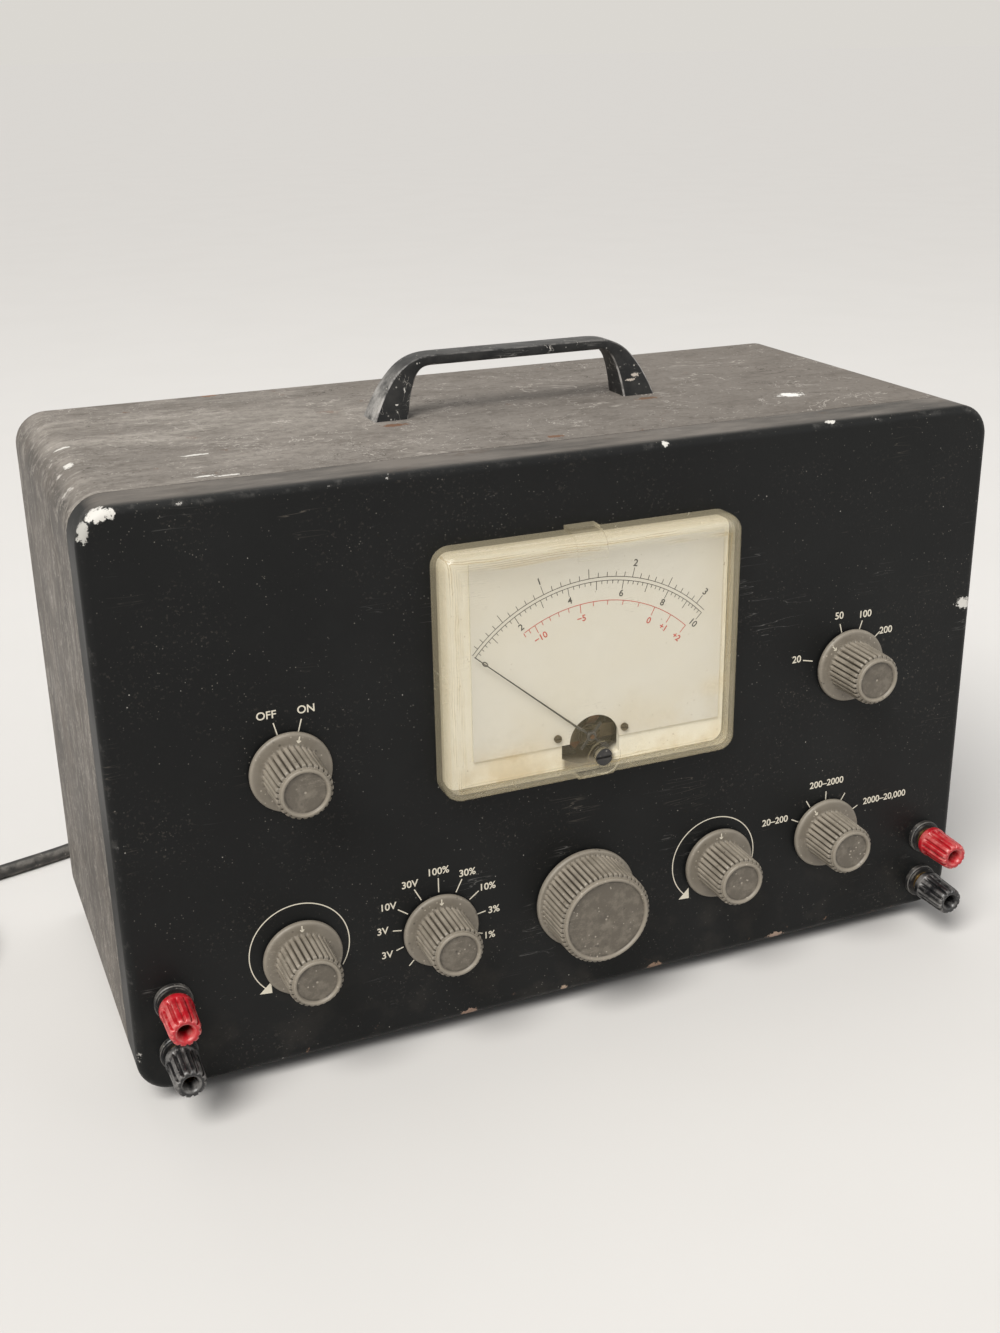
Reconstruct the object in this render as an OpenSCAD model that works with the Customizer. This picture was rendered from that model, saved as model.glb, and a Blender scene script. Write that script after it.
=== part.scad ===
// Harmonic distortion meter: bench instrument in a steel case with a large
// panel meter, seven knobs, four binding posts, a carrying handle and a cord.
// Millimetres, Z up, front panel towards -Y.

/* [Case] */

// Width of the case
case_w = 330; // [326:1:340]

// Height of the case without its feet
case_h = 206; // [204:1:212]

// Depth of the case from panel face to rear edge
case_d = 147; // [143:1:160]

// Corner radius of the case seen from the front
corner_r = 12; // [10:0.5:14]

// Depth of the front panel's turned rim
rim_d = 18; // [15:0.5:22]

// Thickness of the front panel
panel_t = 2; // [1.6:0.1:2.4]

// Thickness of the cabinet, cover and chassis sheet
sheet_t = 1.2; // [1:0.1:1.5]

// Height of the rubber feet
foot_h = 6; // [5:0.5:8]

/* [Knobs] */

// Radius of a small knob over its ribs
knob_r = 9.7; // [9.4:0.1:10.4]

// Radius of a small knob's skirt
skirt_r = 14; // [13:0.25:15]

// Radius of the tuning knob over its ribs
tuning_r = 18; // [17:0.25:19]

// Distance from panel face to the front of the knobs
knob_l = 19.5; // [18.5:0.5:22]

// Ribs round a small knob
knob_ribs = 28; // [24:1:32]

// Radius of the control shafts
shaft_r = 3.175; // [3:0.025:3.2]

/* [Meter] */

// Width of the meter cover
meter_w = 112; // [111:0.5:115]

// Height of the meter cover
meter_h = 89; // [88.5:0.5:92]

// Height of the meter cover above the panel
meter_d = 11; // [10.5:0.5:13]

// Pointer length from its axis
pointer_l = 59.4; // [56:0.2:61]

/* [Handle] */

// Height of the handle above the case
handle_h = 22; // [21:0.5:28]

// Depth of the handle's feet
handle_d = 13.5; // [12:0.5:16]

/* [Binding posts] */

// Height between the two posts of a pair
post_gap = 20; // [19:0.5:24]

// Radius of a post cap at its collar
cap_r = 5.9; // [5.6:0.1:6.4]

// Length of a post cap
cap_l = 16; // [15.5:0.5:18]

/* [Tuning drive] */

// Turns of the tuning shaft for one turn of the drum
drive_ratio = 6; // [5.5:0.25:6.5]

// Vanes in each gang of the tuning capacitor
vane_count = 6; // [4:1:7]

/* [Power cord] */

// Cord diameter
cord_d = 6; // [5.6:0.1:6.2]

/* [Hidden] */

// Clearances: running fit of a shaft, and plain air between moving pieces
run_fit = 0.05;
air = 0.3;
// Short overlap that joins solids of one piece
join = 0.01;

// Control positions as [x, z] on the panel, from its lower left corner
power_at = [59.4, 111.3];
level_at = [59, 41.3];
sensitivity_at = [109.5, 39.6];
tuning_at = [166.1, 39.4];
balance_at = [221.7, 41.3];
range_at = [269.2, 44];
frequency_at = [275.2, 112.9];

// Rest angles of the knobs, clockwise from straight up
power_rest = 15;
level_rest = 0;
sensitivity_rest = 0;
balance_rest = 0;
range_rest = -30;
frequency_rest = -45;
tuning_rest = 0;

// Case
edge_r = 3;
lip_l = 8;
lip_in = panel_t;
seam_y = rim_d + 0.3;
flange_w = 11;
cover_in = sheet_t + 0.3;
cover_y = case_d - 2;
screw_inset = 6.6;
vent_rows = [50, case_h - 56];
vent_count = 9;
vent_pitch = 20;
vent_size = [4, 40];

// Shared case screw
screw_r = 1.95;
screw_head_r = 3.6;
screw_head_h = 2;
screw_l = 7;
screw_slot_w = 1;
screw_slot_d = 0.8;

// The object's middle in depth, from the post caps to the rear screw heads
cap_y = -4.8;
front_y = cap_y - cap_l;
back_y = cover_y + sheet_t + screw_head_h;
mid_y = (front_y + back_y) / 2;

// Chassis
deck_z = 70;
deck_top = deck_z + sheet_t;
deck_gap = 26;
deck_x0 = deck_gap;
deck_x1 = case_w - deck_gap;
apron_z = 24;
apron_y = panel_t;
control_y = panel_t + sheet_t;
deck_back = case_d - 19;
bracket_y = 22;
bracket_half = 9;
drive_slot_half = 4;

// Control bushings and nuts
bush_r = 4.7;
bush_front = -4;
nut_r = 7.3;
nut_h = 2.2;
shaft_front = -16;

// Control bodies with a rotor disc inside
pot_r = 12;
pot_l = 12;
power_can_r = 11;
power_can_l = 15;
can_wall = 1.5;
can_back = 1.2;
disc_y = 3;
disc_t = 2;
contact_w = 2;
lug = [3, 0.8, 8];

// Knob
knob_gap = 0.8;
skirt_front = 2.8;
knob_cavity_r = nut_r + 0.6;
knob_cavity_s = -bush_front + 0.6;
knob_face = knob_l - 1.5;
knob_edge = 0.7;
knob_rib = 0.7;
knob_lip = 0.9;
knob_dish = 0.9;
index_w = 1;
index_depth = 0.3;
tuning_ribs = 54;
tuning_rib = 0.9;
tuning_lip = 1.1;
tuning_dish = 1.2;
tuning_rim = 1.5;
tuning_rim_front = 3;
tuning_pocket = [6, 14, 10];
tuning_back_r = 7;

// Meter
meter_x0 = 110.3;
meter_z0 = 91.3;
meter_x1 = meter_x0 + meter_w;
meter_z1 = meter_z0 + meter_h;
meter_corner = 6.5;
meter_edge = 5.5;
cover_wall = 2;
tab_t = 0.6;
low_tab = [11.3, 6];
low_tab_x = -7;
top_tab = [11, 8];
top_tab_x = -10.4;
tab_lug = [5, 1.6];
pivot = [168.4, 103.4];
case_plate_t = 2.2;
plate_in = cover_wall + 0.1;
stud_sink = case_plate_t - 0.6;
meter_stud_r = 1.9;
meter_stud_back = 10;
meter_nut = [4, 2.4];
scale_screw_r = 0.8;
scale_screw_head = [1.4, 0.8];
scale_screw_sink = 0.6;
plate_t = 0.8;
plate_front = case_plate_t + plate_t;
plate_x0 = 122.7;
plate_x1 = 218;
plate_z0 = 102.9;
plate_z1 = 173.6;
pivot_notch_r = 9.5;
barrel = [168.4, 116.7];
barrel_r = 24;
barrel_back = 30;
barrel_wall = 1.2;
window_x = -12.2;
window_w = 22.4;
window_top = 36;
pointer_rest = -49.5;
coil_rest = -48.3;
pointer_s = 5;
pointer_hub_r = 1.8;
pointer_w = 1.2;
pointer_t = 0.6;
pointer_step_r = pivot_notch_r - 1.6;
balance_arm = 8.5;
cross_arm = 6;
balance_weight = [2.6, 3];
adjuster_at = [168.2, 99.8];
boss_r = 6.3;
boss_sink = 0.8;
adjuster_r = 3.1;
adjuster_neck_r = 2;
adjuster_collar_r = 2.8;
adjuster_pin = [1.2, 0.5];
adjuster_slot_w = 1;

// Meter movement, in depth behind the panel face
magnet_y0 = 6;
magnet_y1 = 20;
magnet_w = 23;
magnet_h = 32;
magnet_drop = 9;
magnet_gap = 6;
magnet_yoke = 15;
bore_r = 7.9;
core_r = 5.6;
core_arm_w = 4;
bridge_w = 21;
bridge_h = 5;
bridge_t = 1.5;
bridge_leg = 2;
bridge_front = 2.5;
bridge_back = 21.8;
staff_r = 0.8;
staff_front = -1.6;
staff_back = 23.5;
coil_y0 = magnet_y0 - 1;
coil_y1 = magnet_y1 + 1;
coil_half = 7.3;
coil_side = 1;
coil_end = 0.8;
coil_h = 3;

// Handle
handle_x0 = 117;
handle_x1 = 229.3;
handle_y = 78.6;
handle_foot = 12.9;
outer_reach = 27;
inner_reach = 12;
outer_power = 3;
inner_power = 4;
leg_step = 1 / 16;
grip_t = 3.8;
grip_d = handle_d - 3.5;
taper_h = 15;
handle_bevel = 1;

// Posts
post_x = [14, case_w - 13];
post_low = [15.2, 11.7];
post_at = [for (i = [0, 1], z = [0, post_gap]) [post_x[i], post_low[i] + z]];
post_hole_r = 5;
flange_r = 6.6;
flange_h = 1.8;
bush_h = 2.8;
washer_h = 2;
stud_r = 3;
stud_back = 15;
stud_nut = [5.2, 2.6];
stud_collar_h = 0.4;
cap_bore_r = 3.4;
mouth_r = 2.4;
mouth_flare = 0.9;
cap_collar = 3;
cap_grooves = 12;
groove_r = 0.9;
stud_front = -15.9;
cap_bore_front = stud_front - 2.4;
socket_r = 2.1;
socket_back = -3;
cap_tip_r = cap_r - 0.5;
insert_r = 4.4;
insert_y0 = -12.5;
insert_y1 = -6.5;

// Tuning capacitor and its cord drive
drum_r = 5 * drive_ratio;
pulley_r = 5;
drive_y = 15;
drive_w = 5;
drive_cord_r = 0.4;
drive_groove = 1.2;
wheel_rim = 1.6;
frame_y0 = 24;
frame_y1 = 84;
frame_half = 21;
frame_z0 = frequency_at[1] - 23;
frame_z1 = frequency_at[1] + 22;
vane_r = 18;
vane_t = 1;
vane_pitch = 3;
gang_y = [30, 57];
hub_r = 5;
frame_t = 2;
pillar_r = 3;
pillar_in = 4;
stator_gap = hub_r + 1.2;
stator_h = 22;

// Transformer, capacitor can and tubes on the deck
core_size = [56, 26, 46];
core_at = [40, 78];
leg_w = 16;
window_h = 22;
can_at = [118, 92];
can_r = 12;
can_h = 52;
tube_at = [[150, 96], [180, 96], [210, 96], [240, 106]];
tube_r = 10.5;
tube_h = 52;
socket_flange_r = 12;
socket_hole_r = 10.1;
socket_seat = 3;
socket_depth = 8;
pin_count = 9;
pin_step = 36;
pin_circle = 6;
pin_r = 0.7;
pin_l = 7;
can_rim = [2, 1];
winding_over = 8;

// Fixing positions
foot_floor = 2;
foot_r = 9;
foot_tip_r = 7.5;
foot_at = [for (x = [34, case_w - 34], y = [30, case_d - 30]) [x, y]];
handle_screw_x = [handle_x0 + 6.5, handle_x1 - 6.5];
cover_screw_at = [for (x = [screw_inset, case_w - screw_inset], z = [30, case_h / 2, case_h - 30]) [x, z]];
meter_stud_at = [for (x = [meter_x0 + 16, meter_x1 - 12], z = [meter_z0 + 9, meter_z1 - 8]) [x, z]];
grommet_r = 7;
grommet_rim = 2;
grommet_front = 3.5;
relief_fit = 0.1;
relief_wall = 1.2;
cord_exit = [70, 32];
scale_screw_at = [for (x = [-14.2, 11.6]) [pivot[0] + x, plate_z0 + 3.1]];

// The dial cord's two straight runs between pulley and drum
drive_dx = frequency_at[0] - tuning_at[0];
drive_dz = frequency_at[1] - tuning_at[1];
drive_span = sqrt(drive_dx * drive_dx + drive_dz * drive_dz);
drive_tilt = atan2(drive_dz, drive_dx);
drive_spread = asin((drum_r - pulley_r) / drive_span);
upper_tilt = drive_tilt + drive_spread;
lower_tilt = drive_tilt - drive_spread;
upper_x = tuning_at[0] - pulley_r * sin(upper_tilt)
        + (deck_z - tuning_at[1] - pulley_r * cos(upper_tilt)) / tan(upper_tilt);
lower_x = tuning_at[0] + pulley_r * sin(lower_tilt)
        + (deck_z - tuning_at[1] + pulley_r * cos(lower_tilt)) / tan(lower_tilt);
drive_slot_x0 = upper_x - 6;
drive_slot_x1 = lower_x + 8;

// Rotary switches
tie_x = 17;
wafer_y = [20, 36];
wafer_t = 1.6;
wafer_hole = 6.5;
wafer_r = 15;
tie_r = 1.2;
tie_tab = 3;
spacer_r = 2.2;
index_plate_r = 13;
index_plate_t = 1.6;
index_wheel_r = 10;
index_wheel_t = 1.5;
blade_w = 2.4;
blade_h = 4.8;
blade_y = 9;
detents = 13;
detent_step = 360 / detents;

// Turn of the vanes from the index mark: fully meshed at the left stop
vane_turn = 90;

// Power cord. The table is foot_h below the case.
cord_r = cord_d / 2;
cord_sides = 10;
relief_end = cover_y + 28;
table_cord_z = cord_r - foot_h;

// Coil: loops spiral in below and out above, tied once and left on the table
coil_turns = 6;
coil_out = 44;
coil_pitch = cord_d + 0.6;
coil_at = [-86, 130];
coil_start = 104;
coil_sides = 6;
coil_steps = 24;
tie_t = 0.8;
coil_z = table_cord_z + tie_t + 0.1;
coil_head = [-sin(coil_start), cos(coil_start), 0];
coil_entry = [coil_at[0] + coil_out * cos(coil_start), coil_at[1] + coil_out * sin(coil_start), coil_z];
coil_exit = coil_entry + [0, 0, coil_pitch];
cord_end = coil_entry - cord_d * coil_head;

// Free cord: out of the relief, down to the table and away to the left
cord_route = [
    [cord_exit[0], case_d - 14, cord_exit[1]],
    [cord_exit[0], relief_end - 12, cord_exit[1]],
    [cord_exit[0], relief_end, cord_exit[1]],
    [68, relief_end + 17, 28],
    [60, relief_end + 30, 19],
    [46, relief_end + 36, 8],
    [28, relief_end + 34, table_cord_z + 1.2],
    [6, 199.5, table_cord_z],
    [-14, 193.5, table_cord_z],
    coil_entry - 60 * coil_head + [0, 0, table_cord_z - coil_z],
    coil_entry - 30 * coil_head + [0, 0, (table_cord_z - coil_z) / 2],
    coil_entry - 18 * coil_head,
    cord_end
];
route_steps = 4;

// Two-pin plug lying past the coil
plug_r = 9;
plug_l = 30;
plug_axis_z = plug_r - foot_h;
plug_gap = 22;
plug_at = [coil_exit[0], coil_exit[1], plug_axis_z] + plug_gap * coil_head;
blade = [16, 1.5, 6.3];
blade_x = 6.35 - 0.4;

// Helpers. Everything is drawn with the panel's lower left front corner at
// zero and Y into the case, then moved to stand on its feet at the origin.
module place() {
    translate([-case_w / 2, -mid_y, foot_h]) children();
}

// A flat outline drawn in X and Z, filled from depth y0 to depth y1
module slab(y0, y1) {
    translate([0, y1, 0]) rotate([90, 0, 0]) linear_extrude(y1 - y0) children();
}

// A round bar along the depth
module rod(at, y0, y1, r) {
    translate([at[0], y1, at[1]]) rotate([90, 0, 0]) cylinder(h = y1 - y0, r = r, $fn = 48);
}

// A turned shape about the depth axis, drawn as [radius, distance forward]
module turned() {
    rotate([90, 0, 0]) rotate_extrude($fn = 64) children();
}

module at_panel(at, angle = 0) {
    translate([at[0], 0, at[1]]) rotate([0, angle, 0]) children();
}

module round_rect(x0, z0, x1, z1, r) {
    translate([x0 + r, z0]) square([x1 - x0 - 2 * r, z1 - z0]);
    translate([x0, z0 + r]) square([x1 - x0, z1 - z0 - 2 * r]);
    for (x = [x0 + r, x1 - r], z = [z0 + r, z1 - r]) {
        translate([x, z]) circle(r, $fn = 48);
    }
}

// Case outline moved in by a distance
module case_outline(inset) {
    round_rect(inset, inset, case_w - inset, case_h - inset, max(corner_r - inset, 1));
}

// Block from y0 back to y1 with corners of radius r and a front edge rounded to e
module soft_block(x0, z0, x1, z1, y0, y1, r, e) {
    slab(y0 + e, y1) round_rect(x0, z0, x1, z1, r);
    slab(y0, y0 + e + join) round_rect(x0 + e, z0 + e, x1 - e, z1 - e, r - e);
    for (z = [z0 + e, z1 - e]) {
        translate([x0 + r, y0 + e, z]) rotate([0, 90, 0]) cylinder(h = x1 - x0 - 2 * r, r = e, $fn = 24);
    }
    for (x = [x0 + e, x1 - e]) {
        translate([x, y0 + e, z0 + r]) cylinder(h = z1 - z0 - 2 * r, r = e, $fn = 24);
    }
    for (x = [x0 + r, x1 - r], z = [z0 + r, z1 - r]) {
        translate([x, y0 + e, z]) turned() intersection() {
            translate([r - e, 0]) circle(e, $fn = 24);
            translate([0, -e - 1]) square([r + 1, 2 * e + 2]);
        }
    }
}

// Case

module panel_holes() {
    for (at = [power_at, level_at, sensitivity_at, balance_at, range_at]) {
        rod(at, -1, panel_t + 1, bush_r);
    }
    rod(tuning_at, -1, panel_t + 1, shaft_r + run_fit);
    rod(frequency_at, -1, panel_t + 1, shaft_r + 0.6);
    rod(barrel, -1, panel_t + 1, barrel_r + 0.2);
    for (at = meter_stud_at) {
        rod(at, -1, panel_t + 1, meter_stud_r + 0.1);
    }
    for (at = post_at) {
        rod(at, -1, panel_t + 1, post_hole_r);
    }
}

module front_panel() {
    color([0.06, 0.07, 0.075]) place() difference() {
        soft_block(0, 0, case_w, case_h, 0, rim_d, corner_r, edge_r);
        soft_block(panel_t, panel_t, case_w - panel_t, case_h - panel_t,
                   panel_t, rim_d + 1, corner_r - panel_t, edge_r - panel_t);
        panel_holes();
    }
}

// Rolled sleeve with a joggled front lip inside the panel rim and a rear flange
module cabinet_shell() {
    color([0.2, 0.19, 0.18]) place() difference() {
        union() {
            slab(seam_y, case_d) case_outline(0);
            slab(rim_d - lip_l, seam_y + sheet_t) case_outline(lip_in);
        }
        slab(rim_d - lip_l - 1, seam_y + sheet_t) case_outline(lip_in + sheet_t);
        slab(seam_y + sheet_t - join, cover_y - sheet_t) case_outline(sheet_t);
        slab(cover_y - sheet_t - 1, cover_y + 1) case_outline(sheet_t + flange_w);
        slab(cover_y, case_d + 1) case_outline(sheet_t);
        for (at = foot_at) {
            translate([at[0], at[1], -1]) cylinder(h = sheet_t + 2, r = screw_r, $fn = 32);
        }
        for (x = handle_screw_x) {
            translate([x, handle_y, case_h - sheet_t - 1]) {
                cylinder(h = sheet_t + 2, r = screw_r, $fn = 32);
            }
        }
        for (at = cover_screw_at) {
            rod(at, cover_y - sheet_t - 1, cover_y + 1, screw_r);
        }
    }
}

module rear_cover() {
    color([0.2, 0.19, 0.18]) place() slab(cover_y, cover_y + sheet_t) difference() {
        case_outline(cover_in);
        for (at = cover_screw_at) {
            translate(at) circle(screw_r, $fn = 32);
        }
        translate(cord_exit) circle(grommet_r, $fn = 48);
        for (i = [0 : vent_count - 1], z = vent_rows) {
            translate([case_w / 2 + (i - (vent_count - 1) / 2) * vent_pitch, z - vent_size[1] / 2]) {
                square(vent_size);
            }
        }
    }
}

// Slotted pan-head screw, head at zero and shank along +Z
module case_screw(l) {
    difference() {
        union() {
            translate([0, 0, -screw_head_h]) cylinder(h = screw_head_h, r = screw_head_r, $fn = 32);
            cylinder(h = l, r = screw_r, $fn = 32);
        }
        translate([-screw_head_r - 1, -screw_slot_w / 2, -screw_head_h - 1]) {
            cube([2 * screw_head_r + 2, screw_slot_w, screw_slot_d + 1]);
        }
    }
}

module case_screws() {
    color([0.6, 0.6, 0.6]) place() {
        for (at = cover_screw_at) {
            translate([at[0], cover_y + sheet_t, at[1]]) rotate([90, 0, 0]) case_screw(screw_l);
        }
        for (x = handle_screw_x) {
            translate([x, handle_y, case_h - sheet_t]) case_screw(screw_l);
        }
        for (at = foot_at) {
            translate([at[0], at[1], -foot_floor]) case_screw(screw_l);
        }
    }
}

module feet() {
    color([0.05, 0.05, 0.05]) place() for (at = foot_at) {
        translate([at[0], at[1], -foot_h]) difference() {
            rotate_extrude($fn = 48) {
                polygon([[0, 0], [foot_tip_r, 0], [foot_r, foot_r - foot_tip_r],
                         [foot_r, foot_h], [0, foot_h]]);
            }
            translate([0, 0, -1]) cylinder(h = foot_h + 2, r = screw_r, $fn = 32);
            translate([0, 0, -1]) cylinder(h = foot_h - foot_floor + 1, r = screw_head_r + 0.4, $fn = 32);
        }
    }
}

// Curve that leaves a foot steeply and ends level at height h
function leg_curve(x, reach, h, power) =
    [for (t = [0 : leg_step : 1]) [x + reach * t, case_h + h * (1 - pow(1 - t, power))]];

function mirrored(points) = [for (i = [len(points) - 1 : -1 : 0])
    [handle_x0 + handle_x1 - points[i][0], points[i][1]]];

// Front outline: a thin grip that runs out into two flared legs
module handle_outline() {
    outer = leg_curve(handle_x0, outer_reach, handle_h, outer_power);
    inner = leg_curve(handle_x0 + handle_foot, inner_reach, handle_h - grip_t, inner_power);
    difference() {
        polygon(concat(outer, mirrored(outer)));
        polygon(concat([inner[0] - [0, 1]], inner, mirrored(inner), mirrored([inner[0] - [0, 1]])));
    }
}

// Outline seen from the side: a deep foot under a narrower, bevelled grip
module handle_side() {
    top = case_h + handle_h;
    translate([handle_y, 0]) polygon([
        [-handle_d / 2, case_h], [handle_d / 2, case_h], [grip_d / 2, case_h + taper_h],
        [grip_d / 2, top - handle_bevel], [grip_d / 2 - handle_bevel, top],
        [handle_bevel - grip_d / 2, top], [-grip_d / 2, top - handle_bevel],
        [-grip_d / 2, case_h + taper_h]]);
}

module handle() {
    color([0.04, 0.04, 0.045]) place() difference() {
        intersection() {
            slab(handle_y - handle_d, handle_y + handle_d) handle_outline();
            translate([handle_x0 - 1, 0, 0]) rotate([90, 0, 90]) {
                linear_extrude(handle_x1 - handle_x0 + 2) handle_side();
            }
        }
        for (x = handle_screw_x) {
            translate([x, handle_y, case_h - 1]) cylinder(h = screw_l + 1, r = screw_r, $fn = 32);
        }
    }
}

// Deck with a front apron behind the panel and a rear apron on the cabinet floor
module chassis() {
    color([0.62, 0.63, 0.64]) place() difference() {
        union() {
            translate([deck_x0, apron_y, deck_z]) cube([deck_x1 - deck_x0, deck_back - apron_y, sheet_t]);
            translate([deck_x0, apron_y, apron_z]) cube([deck_x1 - deck_x0, sheet_t, deck_top - apron_z]);
            translate([deck_x0, deck_back - sheet_t, sheet_t]) {
                cube([deck_x1 - deck_x0, sheet_t, deck_top - sheet_t]);
            }
            translate([tuning_at[0] - bracket_half, bracket_y, tuning_at[1] - bracket_half]) {
                cube([2 * bracket_half, sheet_t, deck_top - tuning_at[1] + bracket_half]);
            }
        }
        for (at = [level_at, sensitivity_at, balance_at, range_at]) {
            rod(at, apron_y - 1, control_y + 1, bush_r);
        }
        rod(tuning_at, apron_y - 1, bracket_y + sheet_t + 1, shaft_r + run_fit);
        for (at = tube_at) {
            translate([at[0], at[1], deck_z - 1]) cylinder(h = sheet_t + 2, r = socket_hole_r, $fn = 48);
        }
        translate([drive_slot_x0, drive_y - drive_slot_half, deck_z - 1]) {
            cube([drive_slot_x1 - drive_slot_x0, 2 * drive_slot_half, sheet_t + 2]);
        }
    }
}

// Meter

module meter_block(inset, y0, r, e) {
    soft_block(meter_x0 + inset, meter_z0 + inset, meter_x1 - inset, meter_z1 - inset, y0, 0, r, e);
}

// Cream base plate in front of the panel with the movement barrel behind it
module meter_case() {
    color([0.86, 0.8, 0.62]) place() difference() {
        union() {
            slab(-case_plate_t, 0) difference() {
                round_rect(meter_x0 + plate_in, meter_z0 + plate_in,
                           meter_x1 - plate_in, meter_z1 - plate_in, meter_corner - plate_in);
                intersection() {
                    translate(barrel) circle(barrel_r - barrel_wall, $fn = 96);
                    translate([pivot[0] + window_x, meter_z0]) square([window_w, window_top]);
                }
            }
            difference() {
                rod(barrel, -join, barrel_back, barrel_r);
                rod(barrel, -1, barrel_back - barrel_wall, barrel_r - barrel_wall);
            }
        }
        for (at = meter_stud_at) {
            rod(at, -stud_sink, 1, meter_stud_r);
        }
        for (at = scale_screw_at) {
            rod(at, -case_plate_t - 1, -scale_screw_sink + 0.1, scale_screw_r);
        }
    }
}

module tab_box(x, w, z, h, d) {
    translate([pivot[0] + x, -d, z]) cube([w, d, h]);
}

// Clear cover, open at the back, with an adjuster boss and moulded tabs
module meter_cover() {
    color([0.93, 0.9, 0.75, 0.35]) place() difference() {
        union() {
            meter_block(0, -meter_d, meter_corner, meter_edge);
            rod(adjuster_at, -meter_d - boss_sink, -meter_d + 1, boss_r);
            intersection() {
                meter_block(-tab_t, -meter_d - tab_t, meter_corner + tab_t, meter_edge + tab_t);
                union() {
                    tab_box(low_tab_x, low_tab[0], meter_z0 - 1, low_tab[1] + 1, meter_d + 1);
                    tab_box(top_tab_x, top_tab[0], meter_z1 - top_tab[1], top_tab[1] + 1, meter_d + 1);
                }
            }
            tab_box(low_tab_x, low_tab[0], meter_z0 - tab_lug[1], 2 * tab_lug[1], tab_lug[0]);
            tab_box(top_tab_x, top_tab[0], meter_z1 - tab_lug[1], 2 * tab_lug[1], tab_lug[0]);
        }
        soft_block(meter_x0 + cover_wall, meter_z0 + cover_wall, meter_x1 - cover_wall,
                   meter_z1 - cover_wall, -meter_d + cover_wall, 1,
                   meter_corner - cover_wall, meter_edge - cover_wall);
        rod(adjuster_at, -meter_d - 2, -meter_d + cover_wall + 1, adjuster_neck_r + run_fit);
        rod(adjuster_at, -meter_d - 2, -meter_d + boss_sink, adjuster_r + air);
    }
}

module scale_plate() {
    color([0.9, 0.87, 0.76]) place() slab(-plate_front, -case_plate_t) difference() {
        translate([plate_x0, plate_z0]) square([plate_x1 - plate_x0, plate_z1 - plate_z0]);
        translate([pivot[0], plate_z0]) circle(pivot_notch_r, $fn = 64);
        for (at = scale_screw_at) {
            translate(at) circle(scale_screw_r, $fn = 24);
        }
    }
}

module scale_screws() {
    color([0.5, 0.48, 0.42]) place() for (at = scale_screw_at) {
        difference() {
            union() {
                rod(at, -plate_front - scale_screw_head[1], -plate_front, scale_screw_head[0]);
                rod(at, -plate_front, -scale_screw_sink, scale_screw_r);
            }
            translate([at[0] - 2, -plate_front - 1, at[1] - 0.2]) cube([4, 0.5, 0.4]);
        }
    }
}

// Two magnet legs bored for the moving coil and joined above it
module meter_magnet() {
    color([0.35, 0.35, 0.37]) place() difference() {
        intersection() {
            translate([pivot[0] - magnet_w / 2, magnet_y0, pivot[1] - magnet_drop]) {
                cube([magnet_w, magnet_y1 - magnet_y0, magnet_h]);
            }
            rod(barrel, magnet_y0 - 1, magnet_y1 + 1, barrel_r - barrel_wall);
        }
        rod(pivot, magnet_y0 - 1, magnet_y1 + 1, bore_r);
        translate([pivot[0] - magnet_gap / 2, magnet_y0 - 1, pivot[1] - magnet_drop - 1]) {
            cube([magnet_gap, magnet_y1 - magnet_y0 + 2, magnet_yoke + magnet_drop + 1]);
        }
    }
}

module bridge_bar(x, w, y0, y1) {
    translate([pivot[0] + x, y0, pivot[1] - bridge_h / 2]) cube([w, y1 - y0, bridge_h]);
}

// Core on its arm, and the front and rear bridges that carry the staff
module meter_frame() {
    color([0.72, 0.6, 0.3]) place() {
        rod(pivot, magnet_y0 + 1, magnet_y1 - 1, core_r);
        translate([pivot[0] - core_arm_w / 2, magnet_y0 + 1, pivot[1] + core_r - 0.5]) {
            cube([core_arm_w, magnet_y1 - magnet_y0 - 2, magnet_yoke - core_r + 0.5]);
        }
        difference() {
            union() {
                for (y = [bridge_front, bridge_back]) bridge_bar(-bridge_w / 2, bridge_w, y, y + bridge_t);
                for (x = [-bridge_w / 2, bridge_w / 2 - bridge_leg]) {
                    bridge_bar(x, bridge_leg, bridge_front + bridge_t - 0.1, magnet_y0);
                    bridge_bar(x, bridge_leg, magnet_y1, barrel_back - barrel_wall);
                }
            }
            rod(pivot, bridge_front - 1, bridge_back + bridge_t + 1, staff_r + run_fit);
        }
    }
}

function spiral(i, r, grow) = (r + grow * i) * [cos(15 * i), sin(15 * i)];

// Flat spiral of flat-sided wire, standing on a post of the front bridge
module meter_hairspring() {
    steps = 72;
    r0 = 1.7;
    r1 = 4.4;
    half = 0.15;
    post_r = 0.4;
    front = 1.3;
    grow = (r1 - r0) / steps;
    inner = [for (i = [0 : steps]) spiral(i, r0 - half, grow)];
    outer = [for (i = [steps : -1 : 0]) spiral(i, r0 + half, grow)];
    color([0.75, 0.6, 0.3]) place() at_panel(pivot) {
        slab(front, front + 0.5) polygon(concat(inner, outer));
        translate([r1, bridge_front, 0]) rotate([90, 0, 0]) {
            cylinder(h = bridge_front - front, r = post_r, $fn = 24);
        }
    }
}

module meter_studs() {
    color([0.72, 0.6, 0.3]) place() for (at = meter_stud_at) {
        rod(at, -stud_sink, meter_stud_back, meter_stud_r);
        translate([at[0], panel_t + meter_nut[1], at[1]]) rotate([90, 0, 0]) {
            cylinder(h = meter_nut[1], r = meter_nut[0], $fn = 6);
        }
    }
}

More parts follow.
